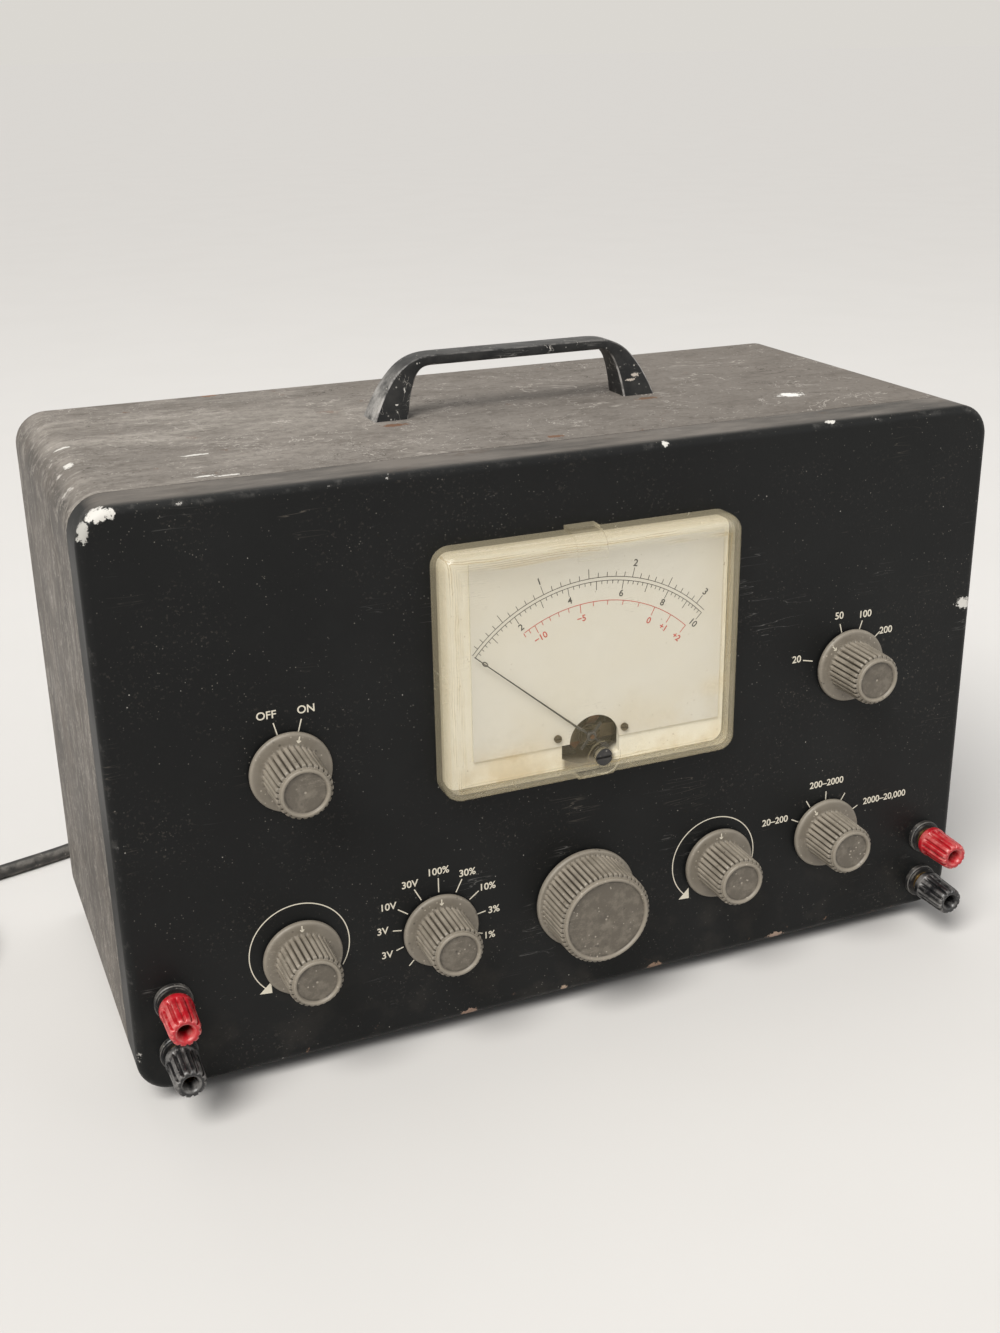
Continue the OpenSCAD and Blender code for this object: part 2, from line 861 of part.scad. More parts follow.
// Hub on the staff, an arm out over the scale plate and two balance arms
module pointer() {
    color([0.03, 0.03, 0.03]) place() at_panel(pivot, pointer_rest) {
        difference() {
            union() {
                slab(-2 * pointer_t, pointer_t) circle(pointer_hub_r, $fn = 32);
                slab(-pointer_t, 0) translate([-pointer_w / 2, -balance_arm]) {
                    square([pointer_w, balance_arm + pointer_step_r + pointer_t]);
                }
                slab(-pointer_t, 0) translate([-cross_arm, -0.5]) square([2 * cross_arm, 1]);
                slab(-1.5 * pointer_t, pointer_t / 2) {
                    translate([-balance_weight[0] / 2, -balance_arm - 0.1]) square(balance_weight);
                }
                slab(-pointer_s, 0) {
                    translate([-pointer_w / 2, pointer_step_r]) square([pointer_w, pointer_t]);
                }
                slab(-pointer_s, -pointer_s + pointer_t) {
                    polygon([[-pointer_w / 2, pointer_step_r], [pointer_w / 2, pointer_step_r],
                             [0.25, pointer_l], [-0.25, pointer_l]]);
                }
            }
            rod([0, 0], -2 * pointer_t - 1, pointer_t + 1, staff_r);
        }
    }
}

// Staff and a rectangular coil round the core
module moving_coil() {
    color([0.7, 0.35, 0.15]) place() at_panel(pivot, coil_rest) {
        rod([0, 0], staff_front, coil_y0 + coil_end / 2, staff_r);
        rod([0, 0], coil_y1 - coil_end / 2, staff_back, staff_r);
        for (x = [-coil_half, coil_half - coil_side]) {
            translate([x, coil_y0, -coil_h / 2]) cube([coil_side, coil_y1 - coil_y0, coil_h]);
        }
        for (y = [coil_y0, coil_y1 - coil_end]) {
            translate([-coil_half, y, -coil_h / 2]) cube([2 * coil_half, coil_end, coil_h]);
        }
    }
}

// Slotted screw in the cover with an off-centre pin behind it
module zero_adjuster() {
    s = meter_d;
    color([0.03, 0.03, 0.03]) place() at_panel(adjuster_at) difference() {
        union() {
            rod([0, 0], -s - 0.5, -s + boss_sink, adjuster_r);
            rod([0, 0], -s + boss_sink, -s + cover_wall + 0.5, adjuster_neck_r);
            rod([0, 0], -s + cover_wall + 0.3, -s + cover_wall + 0.8, adjuster_collar_r);
            rod([0, adjuster_pin[0]], -s + cover_wall + 0.8, -s + cover_wall + 3, adjuster_pin[1]);
        }
        translate([-adjuster_r - 1, -s - 1.5, -adjuster_slot_w / 2]) {
            cube([2 * adjuster_r + 2, 1.7, adjuster_slot_w]);
        }
    }
}

// Electrical parts on the deck

module transformer_core() {
    w = core_size[0];
    d = core_size[1];
    h = core_size[2];
    side = (w - leg_w) / 2;
    win = side / 2;
    color([0.3, 0.3, 0.31]) place() translate([core_at[0], core_at[1], deck_top]) difference() {
        cube(core_size);
        for (x = [(w - leg_w) / 2 - win, (w + leg_w) / 2]) {
            translate([x, -1, (h - window_h) / 2]) cube([win, d + 2, window_h]);
        }
    }
}

module transformer_winding() {
    w = core_size[0];
    d = core_size[1];
    h = core_size[2];
    win = (w - leg_w) / 4;
    color([0.75, 0.6, 0.3]) place() {
        translate([core_at[0], core_at[1], deck_top + (h - window_h) / 2]) difference() {
            translate([(w - leg_w) / 2 - win, -winding_over, 0]) {
                cube([leg_w + 2 * win, d + 2 * winding_over, window_h]);
            }
            translate([(w - leg_w) / 2, 0, -1]) cube([leg_w, d, window_h + 2]);
        }
    }
}

module filter_capacitor() {
    color([0.7, 0.71, 0.72]) place() translate([can_at[0], can_at[1], deck_top]) {
        rotate_extrude($fn = 64) {
            polygon([[0, 0], [can_r + can_rim[0], 0], [can_r + can_rim[0], can_rim[1]], [can_r, can_rim[1]],
                     [can_r, can_h - 1.5], [can_r - 1.5, can_h], [can_r - 3, can_h - 1], [0, can_h - 1]]);
        }
    }
}

module tube_pins(z0, z1) {
    for (i = [0 : pin_count - 1]) {
        rotate([0, 0, i * pin_step]) translate([pin_circle, 0, z0]) {
            cylinder(h = z1 - z0, r = pin_r, $fn = 16);
        }
    }
}

module tube_sockets() {
    color([0.12, 0.1, 0.09]) place() for (at = tube_at) {
        translate([at[0], at[1], deck_top]) difference() {
            union() {
                cylinder(h = socket_seat, r = socket_flange_r, $fn = 48);
                translate([0, 0, -socket_depth]) {
                    cylinder(h = socket_depth + join, r = socket_hole_r - 0.1, $fn = 48);
                }
            }
            tube_pins(-socket_depth - 1, socket_seat + 1);
        }
    }
}

// Glass envelopes with an exhaust tip and nine pins in the socket
module vacuum_tubes() {
    color([0.75, 0.8, 0.82, 0.4]) place() for (at = tube_at) {
        translate([at[0], at[1], deck_top + socket_seat]) {
            rotate_extrude($fn = 64) {
                polygon([[0, 0], [tube_r - 0.5, 0], [tube_r, 0.5], [tube_r, tube_h - 8],
                         [tube_r - 2, tube_h - 4], [2.5, tube_h - 2], [0.6, tube_h + 2], [0, tube_h + 2]]);
            }
            tube_pins(-pin_l, join);
        }
    }
}

// Binding posts

module post_rows() {
    for (at = post_at) {
        at_panel(at) children();
    }
}

// Front bush with a shoulder in the panel hole, and a rear washer
module post_insulators() {
    color([0.05, 0.05, 0.05]) place() post_rows() {
        difference() {
            turned() {
                polygon([[0, -panel_t], [post_hole_r, -panel_t], [post_hole_r, 0], [flange_r, 0],
                         [flange_r, flange_h - 0.3], [flange_r - 0.3, flange_h], [cap_r, flange_h],
                         [cap_r, bush_h], [0, bush_h]]);
            }
            rod([0, 0], -bush_h - 1, panel_t + 1, stud_r);
        }
        difference() {
            rod([0, 0], panel_t, panel_t + washer_h, flange_r);
            rod([0, 0], panel_t - 1, panel_t + washer_h + 1, stud_r);
        }
    }
}

// Threaded stud with a plug socket in its front end, a collar and a rear nut
module post_studs() {
    color([0.78, 0.7, 0.45]) place() post_rows() difference() {
        union() {
            rod([0, 0], stud_front, stud_back, stud_r);
            rod([0, 0], -bush_h - stud_collar_h, -bush_h, insert_r);
            translate([0, panel_t + washer_h + stud_nut[1], 0]) rotate([90, 0, 0]) {
                cylinder(h = stud_nut[1], r = stud_nut[0], $fn = 6);
            }
        }
        rod([0, 0], stud_front - 1, socket_back, socket_r);
    }
}

// Tapered, grooved cap with a countersunk mouth and a pocket for its insert
module post_cap(at) {
    s0 = -cap_y;
    s1 = s0 + cap_l;
    place() at_panel(at) difference() {
        turned() {
            polygon([[0, s0], [cap_r - 0.4, s0], [cap_r, s0 + 0.4], [cap_r, s0 + cap_collar],
                     [cap_r - 0.2, s0 + cap_collar + 0.4], [cap_tip_r, s1 - 0.6],
                     [cap_tip_r - 0.6, s1], [0, s1]]);
        }
        rod([0, 0], cap_bore_front, cap_y + 1, cap_bore_r);
        rod([0, 0], insert_y0 - 0.1, insert_y1 + 0.1, insert_r + run_fit);
        rod([0, 0], -s1 - 1, stud_front, mouth_r);
        turned() {
            polygon([[0, s1 - 1.2], [mouth_r, s1 - 1.2], [mouth_r + mouth_flare, s1 + join], [0, s1 + join]]);
        }
        for (i = [0 : cap_grooves - 1]) {
            rotate([0, i * 360 / cap_grooves, 0]) {
                rod([cap_r + 0.1, 0], -s1 - 1, -s0 - cap_collar - 1, groove_r);
            }
        }
    }
}

module post_insert(at) {
    color([0.78, 0.65, 0.3]) place() at_panel(at) difference() {
        rod([0, 0], insert_y0, insert_y1, insert_r);
        rod([0, 0], insert_y0 - 1, insert_y1 + 1, stud_r + run_fit);
    }
}

module input_red_cap() {
    color([0.6, 0.03, 0.05]) post_cap(post_at[1]);
}

module input_black_cap() {
    color([0.04, 0.04, 0.045]) post_cap(post_at[0]);
}

module output_red_cap() {
    color([0.6, 0.03, 0.05]) post_cap(post_at[3]);
}

module output_black_cap() {
    color([0.04, 0.04, 0.045]) post_cap(post_at[2]);
}

module input_red_insert() post_insert(post_at[1]);

module input_black_insert() post_insert(post_at[0]);

module output_red_insert() post_insert(post_at[3]);

module output_black_insert() post_insert(post_at[2]);

// Controls behind the panel

module control_nuts() {
    color([0.7, 0.7, 0.7]) place() for (at = [power_at, level_at, sensitivity_at, balance_at, range_at]) {
        at_panel(at) difference() {
            rotate([90, 0, 0]) cylinder(h = nut_h, r = nut_r, $fn = 6);
            rod([0, 0], -nut_h - 1, 1, bush_r);
        }
    }
}

// Threaded bushing from the body face at depth y0 to its front end
module bushing(y0) {
    difference() {
        rod([0, 0], bush_front, y0 + join, bush_r);
        rod([0, 0], bush_front - 1, y0 + 1, shaft_r + run_fit);
    }
}

// Round control body with a hollow for the rotor disc and solder lugs
module control_can(y0, r, l, lugs) {
    difference() {
        union() {
            rod([0, 0], y0, y0 + l, r);
            for (i = [0 : lugs - 1]) {
                rotate([0, 150 + 30 * i, 0]) translate([-lug[0] / 2, y0 + disc_y, r - 1]) cube(lug);
            }
        }
        rod([0, 0], y0 + can_wall, y0 + l - can_back, r - can_wall);
        rod([0, 0], y0 - 1, y0 + 2, shaft_r + run_fit);
    }
    bushing(y0);
}

module pot_bodies() {
    color([0.55, 0.52, 0.45]) place() for (at = [level_at, balance_at]) {
        at_panel(at) control_can(control_y, pot_r, pot_l, 3);
    }
}

module power_switch_body() {
    color([0.25, 0.16, 0.1]) place() at_panel(power_at) {
        control_can(panel_t, power_can_r, power_can_l, 2);
    }
}

// Bushing, index plate and two tie rods with spacers for each rotary switch
module switch_frames() {
    color([0.66, 0.66, 0.64]) place() for (at = [sensitivity_at, range_at]) {
        at_panel(at) {
            difference() {
                union() {
                    rod([0, 0], control_y, control_y + index_plate_t, index_plate_r);
                    translate([-tie_x - tie_tab, control_y, -tie_tab]) {
                        cube([2 * tie_x + 2 * tie_tab, index_plate_t, 2 * tie_tab]);
                    }
                }
                rod([0, 0], control_y - 1, control_y + 3, shaft_r + run_fit);
            }
            bushing(control_y);
            for (x = [-tie_x, tie_x]) {
                rod([x, 0], control_y + 1.5, wafer_y[1] + 5, tie_r);
                rod([x, 0], control_y + 1.5, wafer_y[0], spacer_r);
                rod([x, 0], wafer_y[0] + wafer_t, wafer_y[1], spacer_r);
                rod([x, 0], wafer_y[1] + wafer_t, wafer_y[1] + wafer_t + 2, spacer_r);
            }
        }
    }
}

module switch_wafers() {
    color([0.4, 0.25, 0.12]) place() for (at = [sensitivity_at, range_at], y = wafer_y) {
        at_panel(at) slab(y, y + wafer_t) difference() {
            union() {
                circle(wafer_r, $fn = 64);
                translate([-tie_x - tie_tab, -tie_tab - 0.5]) {
                    square([2 * tie_x + 2 * tie_tab, 2 * tie_tab + 1]);
                }
            }
            circle(wafer_hole, $fn = 48);
            for (x = [-tie_x, tie_x]) {
                translate([x, 0]) circle(tie_r, $fn = 24);
            }
        }
    }
}

// Knobs

// Straight ribs round a barrel, as one outline
module rib_outline(tip, root, ribs) {
    step = 360 / ribs;
    polygon([for (i = [0 : ribs - 1], k = [[0, root], [0.2, tip], [0.5, tip], [0.7, root]])
             let (a = (i + k[0]) * step) [k[1] * sin(a), k[1] * cos(a)]]);
}

// Ribbed barrel of radius r on a skirt, with a lip round the dish in its face
module knob_body(r, ribs, rib, skirt, front, lip, dish) {
    root = r - rib;
    turned() {
        polygon([[0, knob_gap], [skirt, knob_gap], [skirt, front - knob_edge],
                 [skirt - knob_edge, front], [0, front]]);
        polygon([[0, knob_face - join], [root - 0.15, knob_face - join], [root - 0.5, knob_l - 0.3],
                 [root - 0.8, knob_l], [root - 0.8 - lip, knob_l],
                 [root - 1.1 - lip, knob_l - dish], [0, knob_l - dish]]);
    }
    slab(-knob_face, -front + join) rib_outline(r, root, ribs);
}

// Skirted knob with an index groove and a cavity over its nut
module small_knob(at, angle) {
    color([0.33, 0.31, 0.28]) place() at_panel(at, angle) difference() {
        knob_body(knob_r, knob_ribs, knob_rib, skirt_r, skirt_front, knob_lip, knob_dish);
        turned() square([knob_cavity_r, knob_cavity_s]);
        rod([0, 0], shaft_front, 0, shaft_r);
        slab(-skirt_front - 1, -skirt_front + index_depth) {
            translate([-index_w / 2, knob_r + 0.4]) square([index_w, skirt_r - knob_r - 1.6]);
        }
    }
}

// Large knob, hollow round its hub
module tuning_knob() {
    color([0.33, 0.31, 0.28]) place() at_panel(tuning_at, tuning_rest) difference() {
        knob_body(tuning_r, tuning_ribs, tuning_rib, tuning_r + tuning_rim,
                  tuning_rim_front, tuning_lip, tuning_dish);
        turned() {
            translate([tuning_pocket[0], 0]) square([tuning_pocket[1] - tuning_pocket[0], tuning_pocket[2]]);
        }
        rod([0, 0], -2, 0, tuning_back_r);
        rod([0, 0], shaft_front, 0, shaft_r);
    }
}

module power_knob() small_knob(power_at, power_rest);

module level_knob() small_knob(level_at, level_rest);

module sensitivity_knob() small_knob(sensitivity_at, sensitivity_rest);

module range_knob() small_knob(range_at, range_rest);

module balance_knob() small_knob(balance_at, balance_rest);

module frequency_knob() small_knob(frequency_at, frequency_rest);

// Shafts and rotors

// Shaft with a disc that carries the contact inside its control body
module disc_shaft(at, angle, y0, r, l) {
    color([0.75, 0.72, 0.62]) place() at_panel(at, angle) {
        rod([0, 0], shaft_front, y0 + l - 3, shaft_r);
        rod([0, 0], y0 + disc_y, y0 + disc_y + disc_t, r - can_wall - 0.7);
        translate([-contact_w / 2, y0 + disc_y + 1, r - can_wall - 3.5]) {
            cube([contact_w, l - 6.5, contact_w]);
        }
    }
}

module power_shaft() disc_shaft(power_at, power_rest, panel_t, power_can_r, power_can_l);

module level_shaft() disc_shaft(level_at, level_rest, control_y, pot_r, pot_l);

module balance_shaft() disc_shaft(balance_at, balance_rest, control_y, pot_r, pot_l);

// Shaft with a notched index wheel, a flat blade and a rotor in each wafer
module switch_rotor(at, angle) {
    blade_end = wafer_y[1] + wafer_t + 3;
    wheel_y = control_y + index_plate_t + 0.6;
    color([0.75, 0.72, 0.62]) place() at_panel(at, angle) {
        rod([0, 0], shaft_front, blade_y, shaft_r);
        translate([-blade_w / 2, blade_y - 0.1, -blade_h / 2]) {
            cube([blade_w, blade_end - blade_y + 0.1, blade_h]);
        }
        difference() {
            rod([0, 0], wheel_y, wheel_y + index_wheel_t, index_wheel_r);
            for (i = [0 : detents - 1]) {
                rotate([0, i * detent_step, 0]) rod([0, index_wheel_r + 0.3], wheel_y - 1, wheel_y + 3, 1.2);
            }
        }
        for (y = wafer_y) {
            rod([0, 0], y - 0.4, y + wafer_t + 0.4, wafer_hole - air);
        }
    }
}

module sensitivity_rotor() switch_rotor(sensitivity_at, sensitivity_rest);

module range_rotor() switch_rotor(range_at, range_rest);

// Tuning drive

// Wheel with a square groove for the dial cord
module cord_wheel(r) {
    rim = r + wheel_rim;
    bed = r - drive_cord_r - air;
    turned() translate([0, -drive_y]) {
        polygon([[0, -drive_w / 2], [rim, -drive_w / 2], [rim, -drive_groove],
                 [bed, -drive_groove], [bed, drive_groove],
                 [rim, drive_groove], [rim, drive_w / 2], [0, drive_w / 2]]);
    }
}

module tuning_shaft() {
    color([0.75, 0.72, 0.62]) place() at_panel(tuning_at, tuning_rest) {
        rod([0, 0], shaft_front, bracket_y + sheet_t + 2, shaft_r);
        cord_wheel(pulley_r);
    }
}

// Centre depth of a rotor vane in a gang
function vane_y(gang, i) = gang_y[gang] + i * vane_pitch;

module capacitor_rotor() {
    color([0.8, 0.79, 0.74]) place() at_panel(frequency_at, frequency_rest) {
        rod([0, 0], shaft_front, frame_y1 + 4, shaft_r);
        cord_wheel(drum_r);
        for (g = [0, 1]) {
            for (i = [0 : vane_count - 1]) {
                slab(vane_y(g, i) - vane_t / 2, vane_y(g, i) + vane_t / 2) intersection() {
                    circle(vane_r, $fn = 64);
                    rotate(vane_turn) translate([-vane_r - 1, -0.01]) square([2 * vane_r + 2, vane_r + 2]);
                }
            }
            rod([0, 0], gang_y[g] - 1.5, vane_y(g, vane_count - 1) + 1.5, hub_r);
        }
    }
}

// Box frame on four pillars, with the fixed vanes below the shaft
module capacitor_frame() {
    x = frequency_at[0];
    z = frequency_at[1];
    color([0.68, 0.69, 0.7]) place() {
        difference() {
            union() {
                for (y = [frame_y0, frame_y1 - frame_t]) {
                    translate([x - frame_half, y, frame_z0]) {
                        cube([2 * frame_half, frame_t, frame_z1 - frame_z0]);
                    }
                }
                translate([x - frame_half, frame_y0 + 1, frame_z0]) {
                    cube([2 * frame_half, frame_y1 - frame_y0 - 2, frame_t]);
                }
            }
            rod(frequency_at, frame_y0 - 1, frame_y1 + 1, shaft_r + run_fit);
        }
        for (side = [-1, 1], py = [frame_y0 + 6, frame_y1 - 6]) {
            translate([x + side * (frame_half - pillar_in), py, deck_top]) {
                cylinder(h = frame_z0 - deck_top + join, r = pillar_r, $fn = 32);
            }
        }
        for (g = [0, 1], i = [0 : vane_count]) {
            y = vane_y(g, i) - vane_pitch / 2;
            slab(y - vane_t / 2, y + vane_t / 2) difference() {
                translate([x - frame_half + 2, frame_z0 + 1]) square([2 * frame_half - 4, stator_h]);
                translate([x, z]) circle(stator_gap, $fn = 48);
                translate([x - stator_gap, z]) square([2 * stator_gap, 8]);
            }
        }
    }
}

// Point at an angle round a wheel, from +X towards +Z, in the drive's plane
function wheel_point(at, r, a) = [at[0] + r * cos(a), drive_y, at[1] + r * sin(a)];

// Cord from its anchor on the drum, round the pulley and back to the drum
pulley_turn = 180 - 2 * drive_spread;
drive_path = concat(
    [for (i = [0 : 10]) wheel_point(frequency_at, drum_r, 37 + (upper_tilt + 53) * i / 10)],
    [for (i = [0 : 12]) wheel_point(tuning_at, pulley_r, 90 + upper_tilt + pulley_turn * i / 12)],
    [for (i = [0 : 10]) wheel_point(frequency_at, drum_r, lower_tilt - 90 + (123 - lower_tilt) * i / 10)]
);

module dial_cord() {
    color([0.75, 0.72, 0.6]) place() tube(drive_path, drive_cord_r, 6, [0, 1, 0]);
}

// Power cord

// Point at fraction u between b and c on the smooth curve through a, b, c, d
function blend(a, b, c, d, u) =
    0.5 * (2 * b + (c - a) * u + (2 * a - 5 * b + 4 * c - d) * u * u + (3 * b - a - 3 * c + d) * u * u * u);

function smooth(p, n) =
    let (last = len(p) - 1)
    concat([for (i = [0 : last - 1], s = [0 : n - 1])
                blend(p[max(i - 1, 0)], p[i], p[i + 1], p[min(i + 2, last)], s / n)], [p[last]]);

function heading(p, i) =
    let (step = p[min(i + 1, len(p) - 1)] - p[max(i - 1, 0)]) step / norm(step);

function ring(p, i, r, n, above) =
    let (ahead = heading(p, i), side = cross(ahead, above) / norm(cross(ahead, above)),
         up = cross(side, ahead))
    [for (k = [0 : n - 1]) p[i] + r * (cos(360 * k / n) * side + sin(360 * k / n) * up)];

module tube(p, r, n, above = [0, 0, 1]) {
    last = len(p) - 1;
    points = [for (i = [0 : last]) each ring(p, i, r, n, above)];
    walls = [for (i = [0 : last - 1], k = [0 : n - 1], half = [0, 1])
             let (a = i * n + k, b = i * n + (k + 1) % n)
             half == 0 ? [a, b, b + n] : [a, b + n, a + n]];
    caps = [for (k = [1 : n - 2], end = [0, 1])
            end == 0 ? [0, k + 1, k] : [last * n, last * n + k, last * n + k + 1]];
    polyhedron(points, concat(walls, caps));
}

// Coil radius and height after t loops: in and out at one rate, with the climb
// in the half loop about the turning point
function coil_radius(t) = coil_out - coil_pitch * min(t, coil_turns - t);
function coil_rise(t) = coil_pitch * max(0, min(1, (t - coil_turns / 2) * 2 + 0.5));

coil_loops = [for (i = [0 : coil_steps * coil_turns])
              let (t = i / coil_steps, a = coil_start + 360 * t, r = coil_radius(t))
              [coil_at[0] + r * cos(a), coil_at[1] + r * sin(a), coil_z + coil_rise(t)]];
coil_path = concat([cord_end], coil_loops,
                   [plug_at - 0.45 * plug_gap * coil_head, plug_at - cord_d * coil_head, plug_at]);

// Least gap between loops, from every pair of points half a loop or more apart
coil_gap = min([for (i = [0 : len(coil_loops) - 1], j = [i + coil_steps / 2 : 1 : len(coil_loops) - 1])
                norm(coil_loops[i] - coil_loops[j])]) - cord_d;
cord_path = smooth(cord_route, route_steps);
function path_length(p) = [for (i = [1 : len(p) - 1]) norm(p[i] - p[i - 1])] * [for (i = [1 : len(p) - 1]) 1];
cord_length = path_length(cord_path) + path_length(coil_path);
echo(coil_gap = coil_gap, cord_length = cord_length, rings = len(cord_path));

module power_cord() {
    color([0.03, 0.03, 0.03]) place() tube(cord_path, cord_r, cord_sides);
}

module power_cord_coil() {
    color([0.03, 0.03, 0.03]) place() tube(coil_path, cord_r, coil_sides);
}

// Flanged bush in the cover with a tapered sleeve round the cord
module cord_grommet() {
    color([0.04, 0.04, 0.04]) place() at_panel(cord_exit) turned() translate([0, -cover_y]) {
        polygon([[cord_r + relief_fit, grommet_front], [grommet_r + grommet_rim, grommet_front],
                 [grommet_r + grommet_rim, 0], [grommet_r, 0], [grommet_r, -sheet_t],
                 [grommet_r + grommet_rim, -sheet_t], [grommet_r + grommet_rim, -sheet_t - grommet_rim],
                 [grommet_r - 0.5, -sheet_t - 2 * grommet_rim], [cord_r + relief_wall, cover_y - relief_end],
                 [cord_r + relief_fit, cover_y - relief_end]]);
    }
}

// Flat band round the whole bundle of loops
module cord_tie() {
    f = 0.6;
    a = coil_start + 360 * f;
    r0 = coil_radius(2 + f) - cord_r - 0.2;
    r1 = coil_radius(5 + f) + cord_r + 0.2;
    z0 = coil_z - cord_r - 0.1;
    z1 = coil_z + coil_pitch + cord_r + 0.1;
    color([0.3, 0.3, 0.28]) place() translate([coil_at[0], coil_at[1], 0]) rotate([0, 0, a]) {
        slab(-2.5, 2.5) difference() {
            round_rect(r0 - tie_t, z0 - tie_t, r1 + tie_t, z1 + tie_t, 1.5);
            round_rect(r0, z0, r1, z1, 0.7);
        }
    }
}

// Moves a piece drawn along +X to the plug's place and heading
module at_plug() {
    place() translate(plug_at) rotate([0, 0, coil_start + 90]) children();
}

module cord_plug() {
    color([0.04, 0.04, 0.04]) at_plug() difference() {
        rotate([0, 90, 0]) rotate_extrude($fn = 48) {
            polygon([[0, 0], [cord_r + 2, 0], [cord_r + 3, 6], [plug_r - 1, 12], [plug_r, 14],
                     [plug_r, plug_l - 1], [plug_r - 1, plug_l], [0, plug_l]]);
        }
        for (y = [-blade_x, blade_x]) {
            translate([plug_l - 8, y - blade[1] / 2, -blade[2] / 2]) cube([9, blade[1], blade[2]]);
        }
    }
}

module plug_prongs() {
    color([0.75, 0.65, 0.35]) at_plug() for (y = [-blade_x, blade_x]) {
        translate([plug_l - 8, y - blade[1] / 2, -blade[2] / 2]) difference() {
            cube([blade[0] + 8, blade[1], blade[2]]);
            translate([blade[0] + 4, -1, blade[2] / 2]) rotate([-90, 0, 0]) {
                cylinder(h = blade[1] + 2, r = 1.6, $fn = 24);
            }
        }
    }
}

front_panel();
cabinet_shell();
rear_cover();
case_screws();
chassis();
handle();
feet();
cord_grommet();
power_cord();
power_cord_coil();
cord_plug();
plug_prongs();
cord_tie();
meter_case();
meter_cover();
scale_plate();
scale_screws();
meter_magnet();
meter_frame();
meter_hairspring();
meter_studs();
transformer_core();
transformer_winding();
filter_capacitor();
tube_sockets();
vacuum_tubes();
post_insulators();
post_studs();
control_nuts();
power_switch_body();
pot_bodies();
switch_frames();
switch_wafers();
capacitor_frame();
dial_cord();
power_knob();
power_shaft();
level_knob();
level_shaft();
sensitivity_knob();
sensitivity_rotor();
range_knob();
range_rotor();
balance_knob();
balance_shaft();
frequency_knob();
capacitor_rotor();
tuning_knob();
tuning_shaft();
pointer();
moving_coil();
zero_adjuster();
input_red_cap();
input_black_cap();
output_red_cap();
output_black_cap();
input_red_insert();
input_black_insert();
output_red_insert();
output_black_insert();
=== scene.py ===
"""Looks of the harmonic distortion meter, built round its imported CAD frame.

Lengths are in metres. Panel places are written in millimetres from the panel's
lower left front corner: x to the right, y into the case, z up.
"""

import math

import bmesh
import bpy
from mathutils import Matrix, Vector


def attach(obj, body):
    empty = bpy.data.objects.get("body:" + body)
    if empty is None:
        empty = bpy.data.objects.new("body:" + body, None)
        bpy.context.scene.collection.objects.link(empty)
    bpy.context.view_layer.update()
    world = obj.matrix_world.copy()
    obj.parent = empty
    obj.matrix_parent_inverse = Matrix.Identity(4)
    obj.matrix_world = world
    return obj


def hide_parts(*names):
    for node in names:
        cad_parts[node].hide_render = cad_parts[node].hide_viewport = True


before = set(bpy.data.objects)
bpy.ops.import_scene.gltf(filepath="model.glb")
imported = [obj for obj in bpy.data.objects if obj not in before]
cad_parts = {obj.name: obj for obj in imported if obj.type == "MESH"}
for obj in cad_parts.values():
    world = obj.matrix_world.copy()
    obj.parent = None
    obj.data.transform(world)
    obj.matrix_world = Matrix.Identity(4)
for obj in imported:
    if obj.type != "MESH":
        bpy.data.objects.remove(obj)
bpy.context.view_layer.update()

MM = 0.001
X, Y, Z = range(3)
CASE_W = 330
CASE_H = 206
CASE_D = 147
MID_Y = 63.7
FOOT_H = 6


def spot(x, y, z):
    """A place in panel millimetres, in the row frame."""
    return Vector(((x - CASE_W / 2) * MM, (y - MID_Y) * MM, (z + FOOT_H) * MM))


def new_object(name, data):
    """A new object in the scene."""
    made = bpy.data.objects.new(name, data)
    bpy.context.collection.objects.link(made)
    return made


# Camera: its place in panel millimetres, the way back from its view, and its roll

CAMERA_PLACE = (-53.13, -457.99, 330.42)
CAMERA_BACK = (-0.3523, -0.861, 0.3669)
CAMERA_ROLL = math.radians(-1.0)


def add_camera():
    """The photograph's viewpoint, with its slight roll."""
    data = bpy.data.cameras.new("camera")
    data.lens = 42.49
    data.sensor_width = 36
    data.clip_start = 0.01
    camera = new_object("camera", data)
    turn = Vector(CAMERA_BACK).to_track_quat("Z", "Y").to_matrix().to_4x4()
    turn = turn @ Matrix.Rotation(CAMERA_ROLL, 4, "Z")
    camera.matrix_world = Matrix.Translation(spot(*CAMERA_PLACE)) @ turn
    bpy.context.scene.camera = camera


add_camera()


# Mesh helpers


def add_object(name, bm, material, body, smooth_angle=35):
    """A closed mesh that rides a body, with smooth sides and sharp corners."""
    bmesh.ops.recalc_face_normals(bm, faces=bm.faces)
    mesh = bpy.data.meshes.new(name)
    bm.to_mesh(mesh)
    bm.free()
    mesh.materials.append(material)
    mesh.shade_smooth()
    mesh.set_sharp_from_angle(angle=math.radians(smooth_angle))
    obj = new_object(name, mesh)
    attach(obj, body)
    return obj


def panel_turn(x, z, angle=0):
    """Takes [x, forward, z] about a control's axis to its place, turned clockwise."""
    return Matrix.Translation(spot(x, 0, z)) @ Matrix.Rotation(math.radians(angle), 4, "Y")


def add_rings(bm, rings, capped=True):
    """Joins rings of points, each with the same count, into a skin."""
    loops = [[bm.verts.new(p) for p in ring] for ring in rings]
    count = len(loops[0])
    for a, b in zip(loops, loops[1:]):
        for k in range(count):
            bm.faces.new((a[k], a[(k + 1) % count], b[(k + 1) % count], b[k]))
    if capped:
        bm.faces.new(loops[0][::-1])
        bm.faces.new(loops[-1])


def turned_rings(stages, place, count, radius_at=lambda stage, angle: stage[0]):
    """Rings about Y. Each stage has its radius first and its distance forward last, in millimetres."""
    rings = []
    for stage in stages:
        ring = []
        for k in range(count):
            a = 2 * math.pi * k / count
            r = radius_at(stage, a)
            ring.append(place @ Vector((r * math.sin(a) * MM, -stage[-1] * MM, r * math.cos(a) * MM)))
        rings.append(ring)
    return rings


